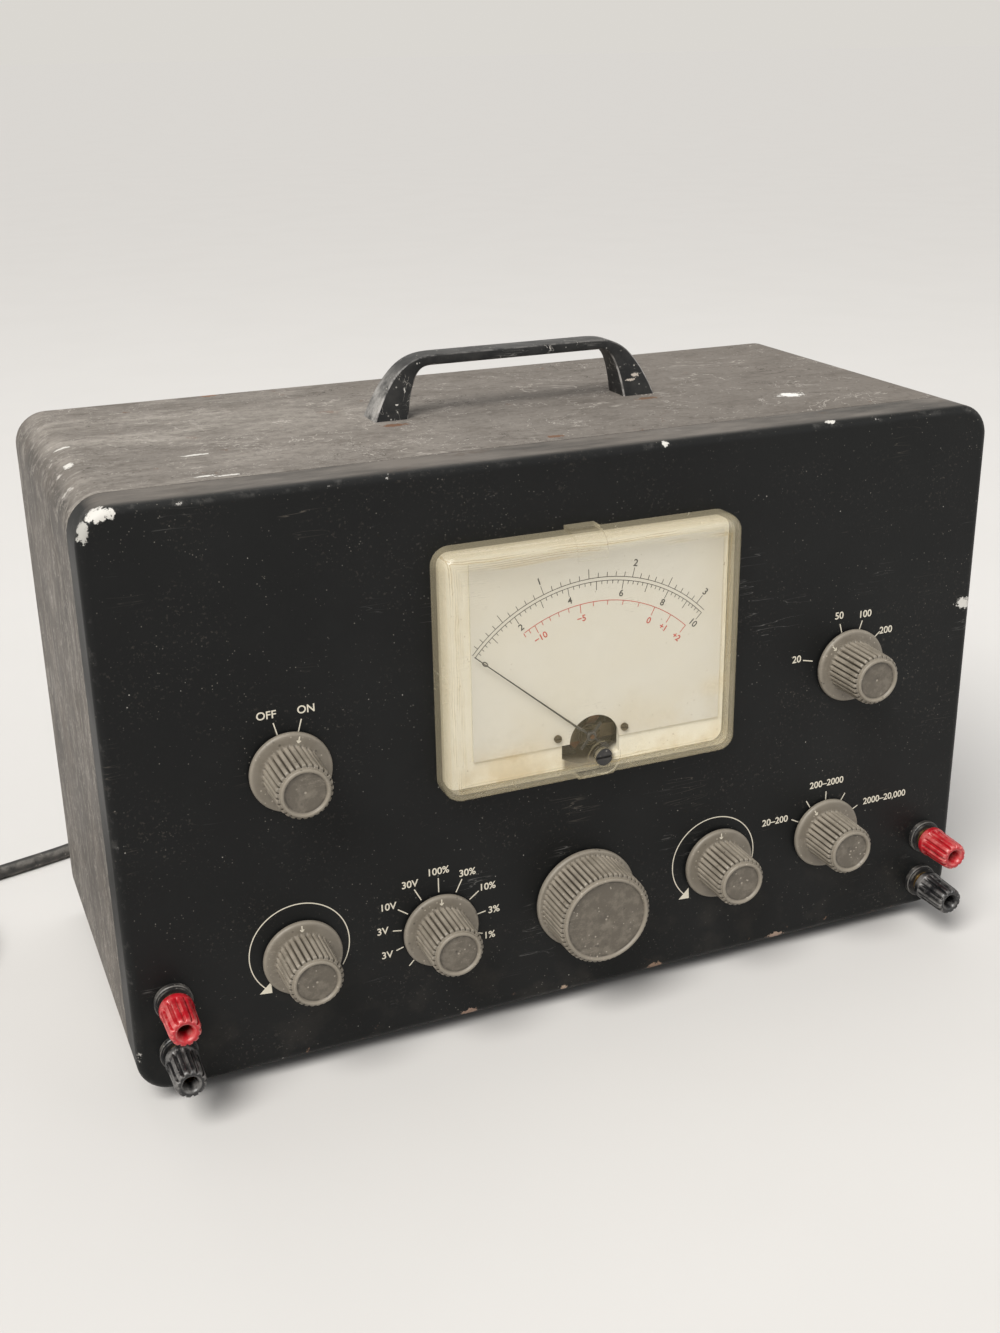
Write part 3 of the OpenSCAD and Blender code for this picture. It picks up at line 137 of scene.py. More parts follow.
def add_box(bm, low, high, place):
    """A box between two corners in metres."""
    low, high = Vector(low), Vector(high)
    fit = place @ Matrix.Translation((low + high) / 2) @ Matrix.Diagonal(high - low).to_4x4()
    bmesh.ops.create_cube(bm, size=1, matrix=fit)


# Material helpers


def fill(tree, node, inputs):
    """Gives each named or numbered input of a node its value, or a link from a socket."""
    for key, value in inputs.items():
        if isinstance(value, bpy.types.NodeSocket):
            tree.links.new(value, node.inputs[key])
        else:
            node.inputs[key].default_value = value


def add_node(tree, kind, inputs={}, **settings):
    """A new shader node with its settings and inputs."""
    made = tree.nodes.new("ShaderNode" + kind)
    for key, value in settings.items():
        setattr(made, key, value)
    fill(tree, made, inputs)
    return made


class Paint:
    """A Principled material under construction, with object coordinates in metres."""

    def __init__(self, name, color, roughness, metallic=0.0, specular=0.5):
        self.material = bpy.data.materials.new(name)
        self.material.use_nodes = True
        self.tree = self.material.node_tree
        self.place = self.node("TexCoord").outputs["Object"]
        self.color = (*color, 1)
        self.height = None
        self.shade("Base Color", self.color)
        self.shade("Roughness", roughness)
        self.shade("Metallic", metallic)
        self.shade("Specular IOR Level", specular)

    def shade(self, key, value):
        """Sets or links an input of the shader."""
        fill(self.tree, self.tree.nodes["Principled BSDF"], {key: value})

    def node(self, kind, inputs={}, **settings):
        """A new node of this material."""
        return add_node(self.tree, kind, inputs, **settings)

    def math(self, operation, first, *others, clamp=False):
        """Works an operation through values, each a number or a socket."""
        for other in others or (None,):
            values = {0: first} if other is None else {0: first, 1: other}
            first = self.node("Math", values, operation=operation, use_clamp=clamp).outputs[0]
        return first

    def times(self, first, *others):
        """The product of masks."""
        return self.math("MULTIPLY", first, *others) if others else first

    def plus(self, *values):
        """The sum of values."""
        return self.math("ADD", *values)

    def rest(self, mask):
        """What a mask leaves out."""
        return self.math("SUBTRACT", 1.0, mask)

    def off(self, value, middle):
        """How far a value is from a middle, either way."""
        return self.math("ABSOLUTE", self.math("SUBTRACT", value, middle))

    def texture(self, kind, scale, shift, stretch=(1, 1, 1), turn=(0, 0, 0), **inputs):
        """A procedural texture. Scale is per metre; stretch squeezes it along an axis."""
        changes = {"Vector": self.place, "Scale": stretch, "Location": shift, "Rotation": turn}
        mapping = self.node("Mapping", changes)
        return self.node(kind, {"Vector": mapping.outputs[0], "Scale": scale, **inputs})

    def noise(self, scale, detail=4, offset=0.0, rough=0.55, stretch=(1, 1, 1), distort=0.0):
        """Noise from 0 to 1; an offset takes it from another place."""
        shift = (offset, offset * 0.7, offset * 1.3)
        field = {"Detail": detail, "Distortion": distort, "Roughness": rough}
        return self.texture("TexNoise", scale, shift, stretch, **field).outputs["Fac"]

    def between(self, value, low, high):
        """0 below low, 1 above high, straight between; low may be the larger."""
        span = {"Value": value, "From Min": low, "From Max": high}
        return self.node("MapRange", span, clamp=True).outputs[0]

    def patch(self, low, high, scale, detail=4, offset=0.0, **more):
        """Patches of noise: none where it is below low, full where it is above high."""
        return self.between(self.noise(scale, detail, offset, **more), low, high)

    def parts(self, vector):
        """The x, y and z of a vector."""
        return self.node("SeparateXYZ", {0: vector}).outputs

    def normal(self):
        """How far the surface faces along each axis of the object."""
        return self.parts(self.node("TexCoord").outputs["Normal"])

    def axis(self, axis):
        """One object coordinate, in metres."""
        return self.parts(self.place)[axis]

    def ramp(self, axis, low, high):
        """0 at one place along an axis, 1 at another, in panel millimetres."""
        return self.between(self.axis(axis), spot(low, low, low)[axis], spot(high, high, high)[axis])

    def vector(self, operation, *values):
        """The node of an operation on vectors."""
        return self.node("VectorMath", dict(enumerate(values)), operation=operation)

    def near(self, x, y, z, radius, squash):
        """1 at a place, falling to 0 at a radius, in panel millimetres."""
        away = self.vector("SUBTRACT", self.place, spot(x, y, z)).outputs[0]
        flat = self.vector("MULTIPLY", away, squash).outputs[0]
        return self.between(self.vector("LENGTH", flat).outputs["Value"], radius * MM, 0)

    def mix(self, color, amount, *masks):
        """Lays a colour over what is there, by an amount and where all its masks are."""
        layers = {0: self.times(*masks, amount), 6: self.color, 7: (*color, 1)}
        made = self.node("Mix", layers, data_type="RGBA")
        self.color = made.outputs[2]
        self.shade("Base Color", self.color)

    def chips(self, chips):
        """Ragged chips of paint, each about a place in panel millimetres."""
        for x, y, z, radius, color, squash in chips:
            ragged = self.times(self.noise(1100 / radius, 6, x, 0.75), 1.7)
            shape = self.plus(self.near(x, y, z, radius * 2, squash), ragged)
            self.mix(color, 1, self.between(shape, 1.35, 1.4))

    def rough(self, value, low, high):
        """Roughness from low to high as a value goes from 0 to 1."""
        span = self.node("MapRange", {"Value": value, "To Min": low, "To Max": high})
        self.shade("Roughness", span.outputs[0])

    def bump(self, value, depth):
        """Adds a bump of a depth in metres."""
        made = self.node("Bump", {"Strength": 1.0, "Distance": depth, "Height": value})
        if self.height is not None:
            self.tree.links.new(self.height, made.inputs["Normal"])
        self.height = made.outputs[0]
        self.shade("Normal", self.height)

    def done(self, gloss, low, high, grain, depth):
        """The material, with its roughness and its last bump."""
        self.rough(gloss, low, high)
        self.bump(grain, depth)
        return self.material


# Power cord: the route of its CAD solids, in panel millimetres

CORD_D = 6
TABLE_Z = CORD_D / 2 - FOOT_H
GROMMET = (70, 32)
RELIEF_END = 173
COIL = (-86, 130)
COIL_OUT = 44
COIL_PITCH = 6.6
COIL_TURNS = 6
COIL_Z = TABLE_Z + 0.9
COIL_START = math.radians(104)
COIL_HEAD = Vector((-math.sin(COIL_START), math.cos(COIL_START), 0))


def coil_spot(r, angle, z):
    """A place at a radius and an angle about the coil's middle."""
    return Vector((COIL[0] + r * math.cos(angle), COIL[1] + r * math.sin(angle), z))


COIL_ENTRY = coil_spot(COIL_OUT, COIL_START, COIL_Z)
PLUG_AT = COIL_ENTRY + 22 * COIL_HEAD + Vector((0, 0, 3 - COIL_Z))

# Points before the coil: how far back along the cord, and how much lower
RUN_IN = [(60, 0.9), (30, 0.45), (18, 0), (6, 0)]


def free_points():
    """From inside the relief, down to the table and away to the coil."""
    x, z = GROMMET
    bends = [
        (x, CASE_D - 14, z), (x, RELIEF_END - 12, z), (x, RELIEF_END, z),
        (68, RELIEF_END + 17, 28), (60, RELIEF_END + 30, 19), (46, RELIEF_END + 36, 8),
        (28, RELIEF_END + 34, TABLE_Z + 1.2), (6, 199.5, TABLE_Z), (-14, 193.5, TABLE_Z),
    ]
    run_in = [COIL_ENTRY - back * COIL_HEAD - Vector((0, 0, drop)) for back, drop in RUN_IN]
    return [Vector(bend) for bend in bends] + run_in


def coil_points(steps=24):
    """Three turns inwards on the table, then three outwards on top of them."""
    points = []
    for k in range(COIL_TURNS * steps + 1):
        t = k / steps
        r = COIL_OUT - COIL_PITCH * min(t, COIL_TURNS - t)
        rise = COIL_PITCH * min(max((t - COIL_TURNS / 2) * 2 + 0.5, 0), 1)
        points.append(coil_spot(r, COIL_START + 2 * math.pi * t, COIL_Z + rise))
    return points


def smooth_path(points, steps):
    """A Catmull-Rom curve through points."""
    ends = [2 * points[0] - points[1], *points, 2 * points[-1] - points[-2]]
    path = []
    for a, b, c, d in zip(ends, ends[1:], ends[2:], ends[3:]):
        for k in range(steps):
            t = k / steps
            path.append(0.5 * (2 * b + (c - a) * t + (2 * a - 5 * b + 4 * c - d) * t * t
                               + (3 * b - 3 * c + d - a) * t * t * t))
    path.append(points[-1])
    return path


def add_cord(material):
    """The cord as one curve, from the relief to the plug."""
    route = free_points() + coil_points() + [PLUG_AT - 9.9 * COIL_HEAD, PLUG_AT - 6 * COIL_HEAD, PLUG_AT]
    path = [spot(*p) for p in smooth_path(route, 4)]
    data = bpy.data.curves.new("mains_cord", "CURVE")
    data.dimensions = "3D"
    data.bevel_depth = CORD_D / 2 * MM
    data.bevel_resolution = 5
    data.use_fill_caps = True
    spline = data.splines.new("POLY")
    spline.points.add(len(path) - 1)
    for point, place in zip(spline.points, path):
        point.co = (*place, 1)
    spline.use_smooth = True
    data.materials.append(material)
    cord = new_object("mains_cord", data)
    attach(cord, "case")
    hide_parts("power_cord", "power_cord_coil")
    return cord


def add_plug(material):
    """A moulded plug with grip ribs and a sleeve, in the place of its CAD solid."""
    place = Matrix.Translation(spot(*PLUG_AT)) @ Matrix.Rotation(COIL_START, 4, "Z")
    profile = [(0, 3.2), (4, 4.6), (6.5, 7.6), (9, 8.6)]
    for k in range(4):
        at = 10.5 + 3.2 * k
        profile += [(at, 8.6), (at + 0.5, 8.0), (at + 1.5, 8.0), (at + 2, 8.7)]
    profile += [(24, 8.9), (29, 8.9), (30, 8.2)]
    rings = []
    for at, r in profile:
        ring = []
        for k in range(48):
            a = 2 * math.pi * k / 48
            wide = r * math.copysign(abs(math.sin(a)) ** 0.8, math.sin(a))
            tall = r * math.copysign(abs(math.cos(a)) ** 0.9, math.cos(a))
            ring.append(place @ Vector((wide * MM, at * MM, tall * MM)))
        rings.append(ring)
    bm = bmesh.new()
    add_rings(bm, rings)
    plug = add_object("mains_plug", bm, material, "case", 50)
    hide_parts("cord_plug")


def add_relief(material):
    """The tapered strain relief, with grooves that let it bend."""
    x, z = GROMMET
    profile = [
        (3.1, -140), (7, -140), (8.6, -143.2), (8.6, -144.6), (7, -144.8), (7, -146.4), (9.2, -146.6),
        (9.4, -149), (8.4, -149.6),
    ]
    for k in range(5):
        at = -151.2 - 4 * k
        r = 6.9 - 0.5 * k
        profile += [(r, at), (r - 1.1, at - 0.6), (r - 1.2, at - 1.7), (r - 0.4, at - 2.3)]
    profile += [(4.4, -172.2), (3.9, -173), (3.1, -173)]
    rings = turned_rings(profile, Matrix.Translation(spot(x, 0, z)), 48)
    bm = bmesh.new()
    add_rings(bm, rings + [rings[0]], capped=False)
    bmesh.ops.remove_doubles(bm, verts=bm.verts, dist=1e-7)
    relief = add_object("strain_relief", bm, material, "case", 45)
    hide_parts("cord_grommet")


# Materials. Colours are linear.

DUST = (0.19, 0.165, 0.135)
STEEL = (0.36, 0.35, 0.33)
RUST = (0.11, 0.045, 0.02)
RUSTY_EDGE = (0.14, 0.075, 0.045)
CHALK = (0.6, 0.58, 0.54)
PALE_DUST = (0.5, 0.465, 0.42)
KNOB_WORN = (0.4, 0.353, 0.288)
KNOB_DARK = (0.03, 0.025, 0.018)

# Chips in the panel's enamel: place, radius, colour and squash
PANEL_CHIPS = [
    (7.9, 1, 204, 2.4, CHALK, (0.55, 0.5, 1.3)), (2.6, 1, 199.5, 2.0, (0.4, 0.39, 0.36), (1.2, 0.5, 0.6)),
    (6.2, 4, 205.6, 1.3, CHALK, (0.8, 0.6, 1)), (326.6, 0.5, 129.4, 2.6, CHALK, (0.7, 0.5, 1.2)),
    (196, 1, 205, 1.2, CHALK, (1, 1, 1)), (262, 2, 205.6, 1.0, CHALK, (0.5, 1, 1)),
    (196, 0.5, 1.5, 1.6, (0.3, 0.2, 0.14), (0.5, 1, 1)), (250, 0.5, 2, 1.4, (0.36, 0.26, 0.2), (0.4, 1, 1)),
    (120, 0.5, 1.6, 1.5, (0.3, 0.2, 0.15), (0.5, 1, 1)), (158, 0.4, 2.2, 1.1, (0.4, 0.3, 0.22), (1, 1, 1)),
]

# Chips on the cabinet, written in the same way
CABINET_CHIPS = [
    (274, 46, 206, 3.0, (0.74, 0.72, 0.68), (0.62, 0.9, 0.2)), (48, 53, 206, 1.6, CHALK, (0.35, 1.6, 0.3)),
    (52, 22, 206, 1.3, CHALK, (0.3, 1.6, 0.3)), (45, 24, 206, 1.2, CHALK, (0.4, 1.3, 0.3)),
    (122, 65, 206, 1.9, RUSTY_EDGE, (0.4, 1, 0.3)), (223, 65, 206, 1.9, (0.13, 0.075, 0.045), (0.4, 1, 0.3)),
    (74, 146, 206, 1.5, (0.2, 0.11, 0.07), (0.5, 1, 0.3)), (166, 24, 206, 1.6, RUSTY_EDGE, (0.5, 1, 0.3)),
    (8, 60, 205, 1.6, CHALK, (1, 0.6, 0.4)), (9.4, 84, 205, 1.3, CHALK, (0.5, 1.2, 0.4)),
]

# Chips on the handle's legs
HANDLE_CHIPS = [
    (219.4, 72, 212, 0.8, (0.5, 0.44, 0.38), (0.4, 0.4, 1.7)),
    (221.5, 72, 213.6, 0.8, (0.52, 0.46, 0.4), (0.5, 0.4, 1)),
    (125.8, 72, 211.4, 0.4, CHALK, (0.6, 0.4, 1.2)), (129.1, 72, 216.5, 0.6, CHALK, (1.2, 0.4, 0.5)),
]


def add_specks(p, color, scale, size, amount, offset=0.0, few=0.5):
    """Fine scattered dots."""
    cells = p.texture("TexVoronoi", scale, [offset] * 3)
    dots = p.between(cells.outputs["Distance"], size, size * 0.6)
    p.mix(color, amount, dots, p.patch(few, few + 0.12, scale * 0.31, 2, offset + 3))


def add_scratches(p, color, amount, lean, offset=0.0, scale=22, few=0.56):
    """Long thin scratches that lean one way, broken up along their length."""
    turn = (math.radians(lean), math.radians(lean * 1.3), math.radians(lean))
    field = p.texture("TexNoise", scale, [offset] * 3, (1, 1, 14), turn, Detail=3)
    line = p.between(p.off(field.outputs["Fac"], 0.5), 0.006, 0.001)
    mask = p.times(line, p.patch(few, few + 0.1, 35, 2, offset + 9))
    p.mix(color, amount, mask)
    return mask


def hairlines(p, stretch, scale, offset, few=0.56, thick=1.0):
    """A mask of fine wandering cracks that come and go."""
    field = p.noise(scale, 5, offset, 0.6, stretch, 0.6)
    line = p.between(p.off(field, 0.5), 0.0052 * thick, 0.0012 * thick)
    return p.times(line, p.patch(few, few + 0.06, scale * 1.1, 3, offset + 4))


def add_edge_wear(p, color, low, high, amount, offset=0.0):
    """Bare patches where a rounded edge turns from one face to the next."""
    normal = p.normal()
    flat = p.math("MAXIMUM", *[p.math("ABSOLUTE", normal[k]) for k in (X, Y, Z)])
    mask = p.times(p.between(flat, 0.985, 0.86), p.patch(1 - high, 1 - low, 160, 5, offset, rough=0.7))
    p.mix(color, amount, mask)
    return mask


def panel_paint():
    """Satin black baked enamel, with fine dust, a few scuffs and chipped edges."""
    p = Paint("panel_black", (0.005, 0.0054, 0.0055), 0.42, specular=0.2)
    p.mix((0.05, 0.052, 0.05), 0.1, p.patch(0.42, 0.8, 11, 6, 2, rough=0.65))
    p.mix(DUST, 0.24, p.patch(0.6, 0.74, 900, 3, 5), p.patch(0.45, 0.7, 34, 4, 15))
    add_specks(p, (0.3, 0.28, 0.24), 560, 0.13, 0.5, few=0.52)
    add_specks(p, (0.6, 0.58, 0.52), 230, 0.055, 0.7, 4, 0.54)
    add_specks(p, (0.26, 0.24, 0.2), 900, 0.16, 0.5, 8, 0.6)
    low = p.ramp(Z, 39, -6)
    p.mix((0.07, 0.06, 0.05), 0.3, low, p.patch(0.5, 0.7, 60, 5, 8))
    add_scratches(p, STEEL, 0.3, 24, few=0.64)
    add_scratches(p, DUST, 0.35, -38, 6, 16, 0.64)
    wear = add_edge_wear(p, (0.12, 0.115, 0.108), 0.3, 0.46, 0.35)
    add_edge_wear(p, (0.46, 0.44, 0.41), 0.31, 0.345, 0.8, 3)
    rim = p.times(p.between(p.normal()[Z], 0.8, 0.98), p.ramp(Y, 1.5, 5))
    p.mix((0.165, 0.146, 0.127), 0.85, rim, p.patch(0.25, 0.6, 38, 7, 19, rough=0.7, stretch=(0.5, 2, 1)))
    p.mix((0.07, 0.05, 0.036), 0.7, rim, p.patch(0.6, 0.7, 90, 5, 27, rough=0.7))
    nicks = p.patch(0.66, 0.69, 210, 4, 41, rough=0.7)
    p.mix((0.2, 0.12, 0.08), 0.9, low, nicks, p.ramp(Z, 6.5, 3.5))
    p.chips(PANEL_CHIPS)
    p.bump(p.noise(900, 3), 0.00003)
    return p.done(p.plus(p.noise(30, 5, 1), p.times(wear, 0.2)), 0.36, 0.62, p.rest(wear), 0.00005)


def cabinet_paint(name, top=1.0):
    """Dull black enamel under old dust, cracked on top and scuffed down the sides."""
    p = Paint(name, (0.034, 0.031, 0.028), 0.6, specular=0.3)
    up = p.between(p.normal()[Z], 0.55, 0.9)
    sides = p.rest(up)
    grain = p.noise(420, 5, 3, rough=0.7)
    p.mix((0.165, 0.14, 0.117), 0.74, sides, p.patch(0.22, 0.66, 26, 7, 21, rough=0.68))
    smears = p.patch(0.48, 0.7, 95, 7, 12, rough=0.7, stretch=(1, 1, 0.3), distort=0.8)
    p.mix((0.07, 0.062, 0.054), 0.55, sides, smears)
    for scale, offset in ((55, 61), (80, 67), (120, 73)):
        p.mix((0.34, 0.31, 0.272), 0.62, sides, hairlines(p, (1, 1, 0.24), scale, offset, 0.42, 2.6))
    p.mix((0.03, 0.027, 0.024), 0.5, sides, hairlines(p, (1, 1, 0.22), 75, 83, 0.46, 1.8))
    cloud = p.patch(0.22, 0.74, 12, 7, 7, rough=0.62)
    p.mix((0.215, 0.192, 0.168), top, up, p.plus(p.times(cloud, 0.34), 0.62))
    left = p.times(up, p.ramp(X, 195, 45))
    pale = p.patch(0.46, 0.64, 17, 8, 11, rough=0.72, stretch=(0.5, 1.6, 1))
    p.mix((0.375, 0.343, 0.302), 0.62 * top, left, pale)
    p.mix((0.13, 0.112, 0.094), 0.55, up, p.patch(0.5, 0.68, 15, 7, 37, rough=0.7, stretch=(0.6, 1.5, 1)))
    p.mix((0.085, 0.062, 0.046), 0.6, up, p.patch(0.62, 0.72, 70, 6, 17, rough=0.75))
    p.mix((0.088, 0.075, 0.063), 0.7, up, p.patch(0.46, 0.66, 120, 7, 47, rough=0.78, stretch=(0.6, 1.3, 1)))
    p.mix((0.12, 0.104, 0.089), 0.45 * top, up, p.ramp(X, 145, 295))
    p.mix((0.055, 0.05, 0.045), 0.5, p.between(grain, 0.5, 0.72))
    add_specks(p, (0.42, 0.385, 0.34), 420, 0.17, 0.7, 5, 0.48)
    add_specks(p, (0.04, 0.032, 0.026), 330, 0.17, 0.7, 14, 0.52)
    p.mix((0.045, 0.036, 0.029), 0.85, up, hairlines(p, (1.0, 1.8, 1), 26, 44, 0.5))
    p.mix(PALE_DUST, 0.6, hairlines(p, (1, 1, 1.4), 48, 51, 0.5))
    p.mix((0.44, 0.405, 0.36), 0.6, hairlines(p, (0.7, 1.6, 1), 21, 57, 0.5))
    p.mix(PALE_DUST, 0.6, left, hairlines(p, (0.8, 1.5, 1), 85, 59, 0.42))
    wear = add_edge_wear(p, (0.3, 0.275, 0.25), 0.33, 0.46, 0.7, 5)
    add_edge_wear(p, (0.52, 0.49, 0.45), 0.31, 0.37, 0.8, 9)
    rusty = p.patch(0.65, 0.7, 100, 5, 31, rough=0.7)
    p.mix((0.12, 0.06, 0.036), 0.75, rusty, p.ramp(Z, 203.5, 205), p.patch(0.42, 0.55, 9, 2, 6))
    p.chips(CABINET_CHIPS)
    p.bump(grain, 0.0001)
    return p.done(p.plus(p.times(p.noise(40, 5), 0.6), p.times(up, 0.5)), 0.42, 0.9, p.rest(wear), 0.00006)


def bar_paint():
    """Worn black on the cast handle: dusty legs, bare thin lines along the edges."""
    p = Paint("handle_black", (0.012, 0.0125, 0.013), 0.36, specular=0.3)
    normal = p.normal()
    across = p.math("ABSOLUTE", normal[Y])
    p.mix((0.065, 0.062, 0.058), 0.5, p.patch(0.42, 0.78, 110, 6, 2, rough=0.7))
    legs = p.ramp(Z, 225, 216)
    backs = p.times(p.between(normal[Z], 0.02, 0.22), p.between(across, 0.8, 0.4))
    p.mix((0.36, 0.345, 0.325), 0.85, legs, backs, p.patch(0.34, 0.6, 150, 6, 9, rough=0.72))
    add_specks(p, (0.5, 0.48, 0.44), 430, 0.17, 0.85, few=0.46)
    add_scratches(p, (0.3, 0.29, 0.27), 0.7, 18, 3, 40)
    p.mix((0.6, 0.57, 0.52), 0.75, hairlines(p, (1, 1, 1), 95, 5))
    p.mix((0.45, 0.42, 0.38), 0.6, hairlines(p, (1.3, 1, 0.6), 70, 8))
    corner = p.times(p.between(across, 0.15, 0.42), p.between(across, 0.975, 0.9))
    wear = p.times(corner, p.patch(0.4, 0.56, 170, 5, 12, rough=0.7))
    p.mix((0.2, 0.19, 0.18), 0.5, wear)
    p.mix((0.42, 0.4, 0.38), 0.8, wear, legs)
    p.chips(HANDLE_CHIPS)
    p.bump(p.noise(260, 4, 6), 0.0001)
    return p.done(p.noise(130, 5, 4), 0.24, 0.6, p.rest(wear), 0.00006)


def knob_plastic(name, x, z, root, crest, skirt_r):
    """Taupe plastic: pale worn ribs, painted shade in the slots between them, a dark dished face with a
    painted shadow round its rim, and a painted highlight round the skirt's edge.
    """
    p = Paint(name, (0.155, 0.134, 0.104), 0.5)
    flat = p.node("CombineXYZ", {X: p.axis(X), Z: p.axis(Z)}).outputs[0]
    away = p.vector("DISTANCE", flat, (spot(x, 0, z).x, 0, spot(x, 0, z).z)).outputs["Value"]

    def ring(low, high):
        """0 at one radius about the knob's axis, 1 at another, in millimetres."""
        return p.between(away, low * MM, high * MM)

    barrel = p.times(p.ramp(Y, -18.2, -18.0), p.ramp(Y, -3.2, -3.6))
    tip = p.ramp(Y, -18.1, -18.25)
    p.mix((0.205, 0.18, 0.144), 0.6, p.patch(0.35, 0.7, 240, 5, 3))
    p.mix((0.11, 0.094, 0.07), 0.45, p.patch(0.5, 0.7, 70, 5, 9))
    tops = p.times(barrel, ring(crest - 0.55, crest - 0.1))
    p.mix((0.3, 0.265, 0.214), 0.8, tops, p.patch(0.25, 0.6, 150, 4, 21))
    # Painted shade: near-black in the slots between the ribs.
    p.mix(KNOB_DARK, 0.85, barrel, ring(root + 0.6, root + 0.15))
    p.mix((0.245, 0.215, 0.171), 0.75, tip, ring(root - 1.7, root - 1.2))
    dish = p.times(tip, ring(root - 1.45, root - 1.75))
    p.mix((0.092, 0.078, 0.06), 0.9, dish)
    # Painted shadow: a dark band round the rim of the dished face, under the front lip.
    p.mix((0.045, 0.037, 0.027), 0.7, dish, ring(root - 2.3, root - 1.8))
    p.mix((0.165, 0.143, 0.113), 0.7, dish, p.patch(0.46, 0.62, 300, 6, 7, rough=0.7))
    p.mix(KNOB_WORN, 0.7, tip, ring(0.55, 0.2))
    # Painted highlight: lighter round the skirt's rounded outer edge.
    p.mix((0.32, 0.286, 0.236), 0.8, ring(skirt_r - 1.4, skirt_r), p.noise(130, 4, 2))
    add_specks(p, (0.44, 0.392, 0.324), 520, 0.2, 0.7, 3)
    add_specks(p, KNOB_DARK, 380, 0.2, 0.6, 11)
    add_scratches(p, KNOB_WORN, 0.6, 28, x * 0.1, 60)
    return p.done(p.noise(180, 4, 5), 0.34, 0.62, p.noise(620, 4), 0.00006)


def clear_cover():
    """Clear cover gone yellow: a faint film on the front, amber in its walls and rim."""
    p = Paint("cover_clear", (0.7, 0.6, 0.38), 0.09, 0.0, 0.6)
    side = p.between(p.math("ABSOLUTE", p.normal()[Y]), 0.93, 0.45)
    low, high = spot(110.3, 0, 91.3), spot(222.3, 0, 180.3)
    gaps = []
    for k in (X, Z):
        gaps += [p.math("SUBTRACT", p.axis(k), low[k]), p.math("SUBTRACT", high[k], p.axis(k))]
    inset = p.math("MINIMUM", *gaps)
    ragged = p.plus(inset, p.times(p.noise(34, 5, 3), 3 * MM))
    rim = p.between(ragged, 8.0 * MM, 5.6 * MM)
    brink = p.between(inset, 2.8 * MM, 1.6 * MM)
    lines = []
    for deep, shallow in ((8.2, 7.5), (6.6, 6.2), (5.0, 4.7)):
        middle = (deep + shallow) / 2
        line = p.between(p.off(ragged, middle * MM), (deep - shallow) * 0.7 * MM, 0.08 * MM)
        lines.append(p.times(line, p.patch(0.44, 0.56, 26, 3, middle)))
    seams = p.math("MAXIMUM", *lines)
    stain = p.patch(0.6, 0.72, 33, 5, 5, rough=0.7)
    blot = p.times(stain, p.plus(p.times(p.ramp(Z, 116, 94), 0.6), 0.12))
    left, right = p.near(136, -13, 105, 13, (1, 0.2, 1.7)), p.near(213, -13, 118.5, 9, (1, 0.2, 1.8))
    mottle = p.patch(0.34, 0.62, 110, 6, 41, rough=0.7)
    blot = p.math("MAXIMUM", blot, p.times(p.math("MAXIMUM", left, right), mottle, 0.9))
    p.mix((0.8, 0.74, 0.58), 0.8, rim)
    p.mix((0.5, 0.43, 0.28), 0.8, brink)
    p.mix((0.42, 0.29, 0.1), 0.9, seams)
    p.mix((0.5, 0.32, 0.1), 0.9, blot)
    p.mix((0.3, 0.21, 0.09), 0.4, p.patch(0.62, 0.7, 260, 5, 8, rough=0.7))
    haze = p.patch(0.4, 0.8, 75, 6, 9, rough=0.7)
    scratch = add_scratches(p, (0.8, 0.75, 0.6), 0.8, 34, 4, 40)
    parts = (rim, 0.1), (side, 0.12), (brink, 0.16), (haze, 0.03), (blot, 0.3), (seams, 0.32), (scratch, 0.22)
    film = p.plus(*[p.times(mask, share) for mask, share in parts])
    p.shade("Alpha", p.math("ADD", film, 0.035, clamp=True))
    return p.done(p.noise(110, 5, 12), 0.05, 0.24, p.noise(45, 2, 14), 0.00018)


def scale_card():
    """Off-white enamelled scale, toned unevenly with age."""
    p = Paint("scale_cream", (0.64, 0.612, 0.53), 0.55)
    p.mix((0.62, 0.57, 0.45), 0.55, p.patch(0.38, 0.72, 18, 5, 3))
    p.mix((0.55, 0.44, 0.25), 0.45, p.ramp(Z, 122, 102), p.patch(0.46, 0.68, 40, 5, 6))
    add_specks(p, (0.2, 0.14, 0.08), 420, 0.12, 0.5)
    return p.done(p.noise(90, 4), 0.45, 0.7, p.noise(800, 3), 0.00003)


def case_cream():
    """Cream meter case: amber along its foot, with painted shade inside it and below the window."""
    p = Paint("plastic_cream", (0.8, 0.755, 0.62), 0.42)
    p.mix((0.72, 0.65, 0.49), 0.6, p.patch(0.42, 0.72, 60, 6, 3, rough=0.7))
    p.mix((0.5, 0.35, 0.15), 0.6, p.ramp(Z, 108, 92), p.patch(0.46, 0.64, 50, 5, 8))
    add_edge_wear(p, (0.46, 0.34, 0.16), 0.34, 0.5, 0.6, 4)
    add_specks(p, (0.24, 0.15, 0.07), 520, 0.16, 0.6)
    # Painted shade: the case near black more than a few millimetres behind the panel's face.
    p.mix((0.035, 0.03, 0.024), 0.95, p.ramp(Y, 1, 4))
    # Painted shade: dark brown below the window, round the zero adjuster.
    p.mix((0.1, 0.078, 0.052), 0.85, p.ramp(X, 156, 157.5), p.ramp(X, 177.5, 176), p.ramp(Z, 106, 105))
    return p.done(p.noise(150, 5, 6), 0.32, 0.6, p.noise(480, 4, 9), 0.00005)


def ink(name, color, wear):
    """Printed ink, thinned in places."""
    p = Paint(name, color, 0.55)
    faded = tuple(0.55 * c + 0.12 for c in color)
    p.mix(faded, wear, p.patch(0.5, 0.72, 900, 4, 2))
    p.mix(faded, wear, p.patch(0.55, 0.7, 160, 3, 7))
    p.rough(p.noise(300, 3), 0.45, 0.7)
    return p.material


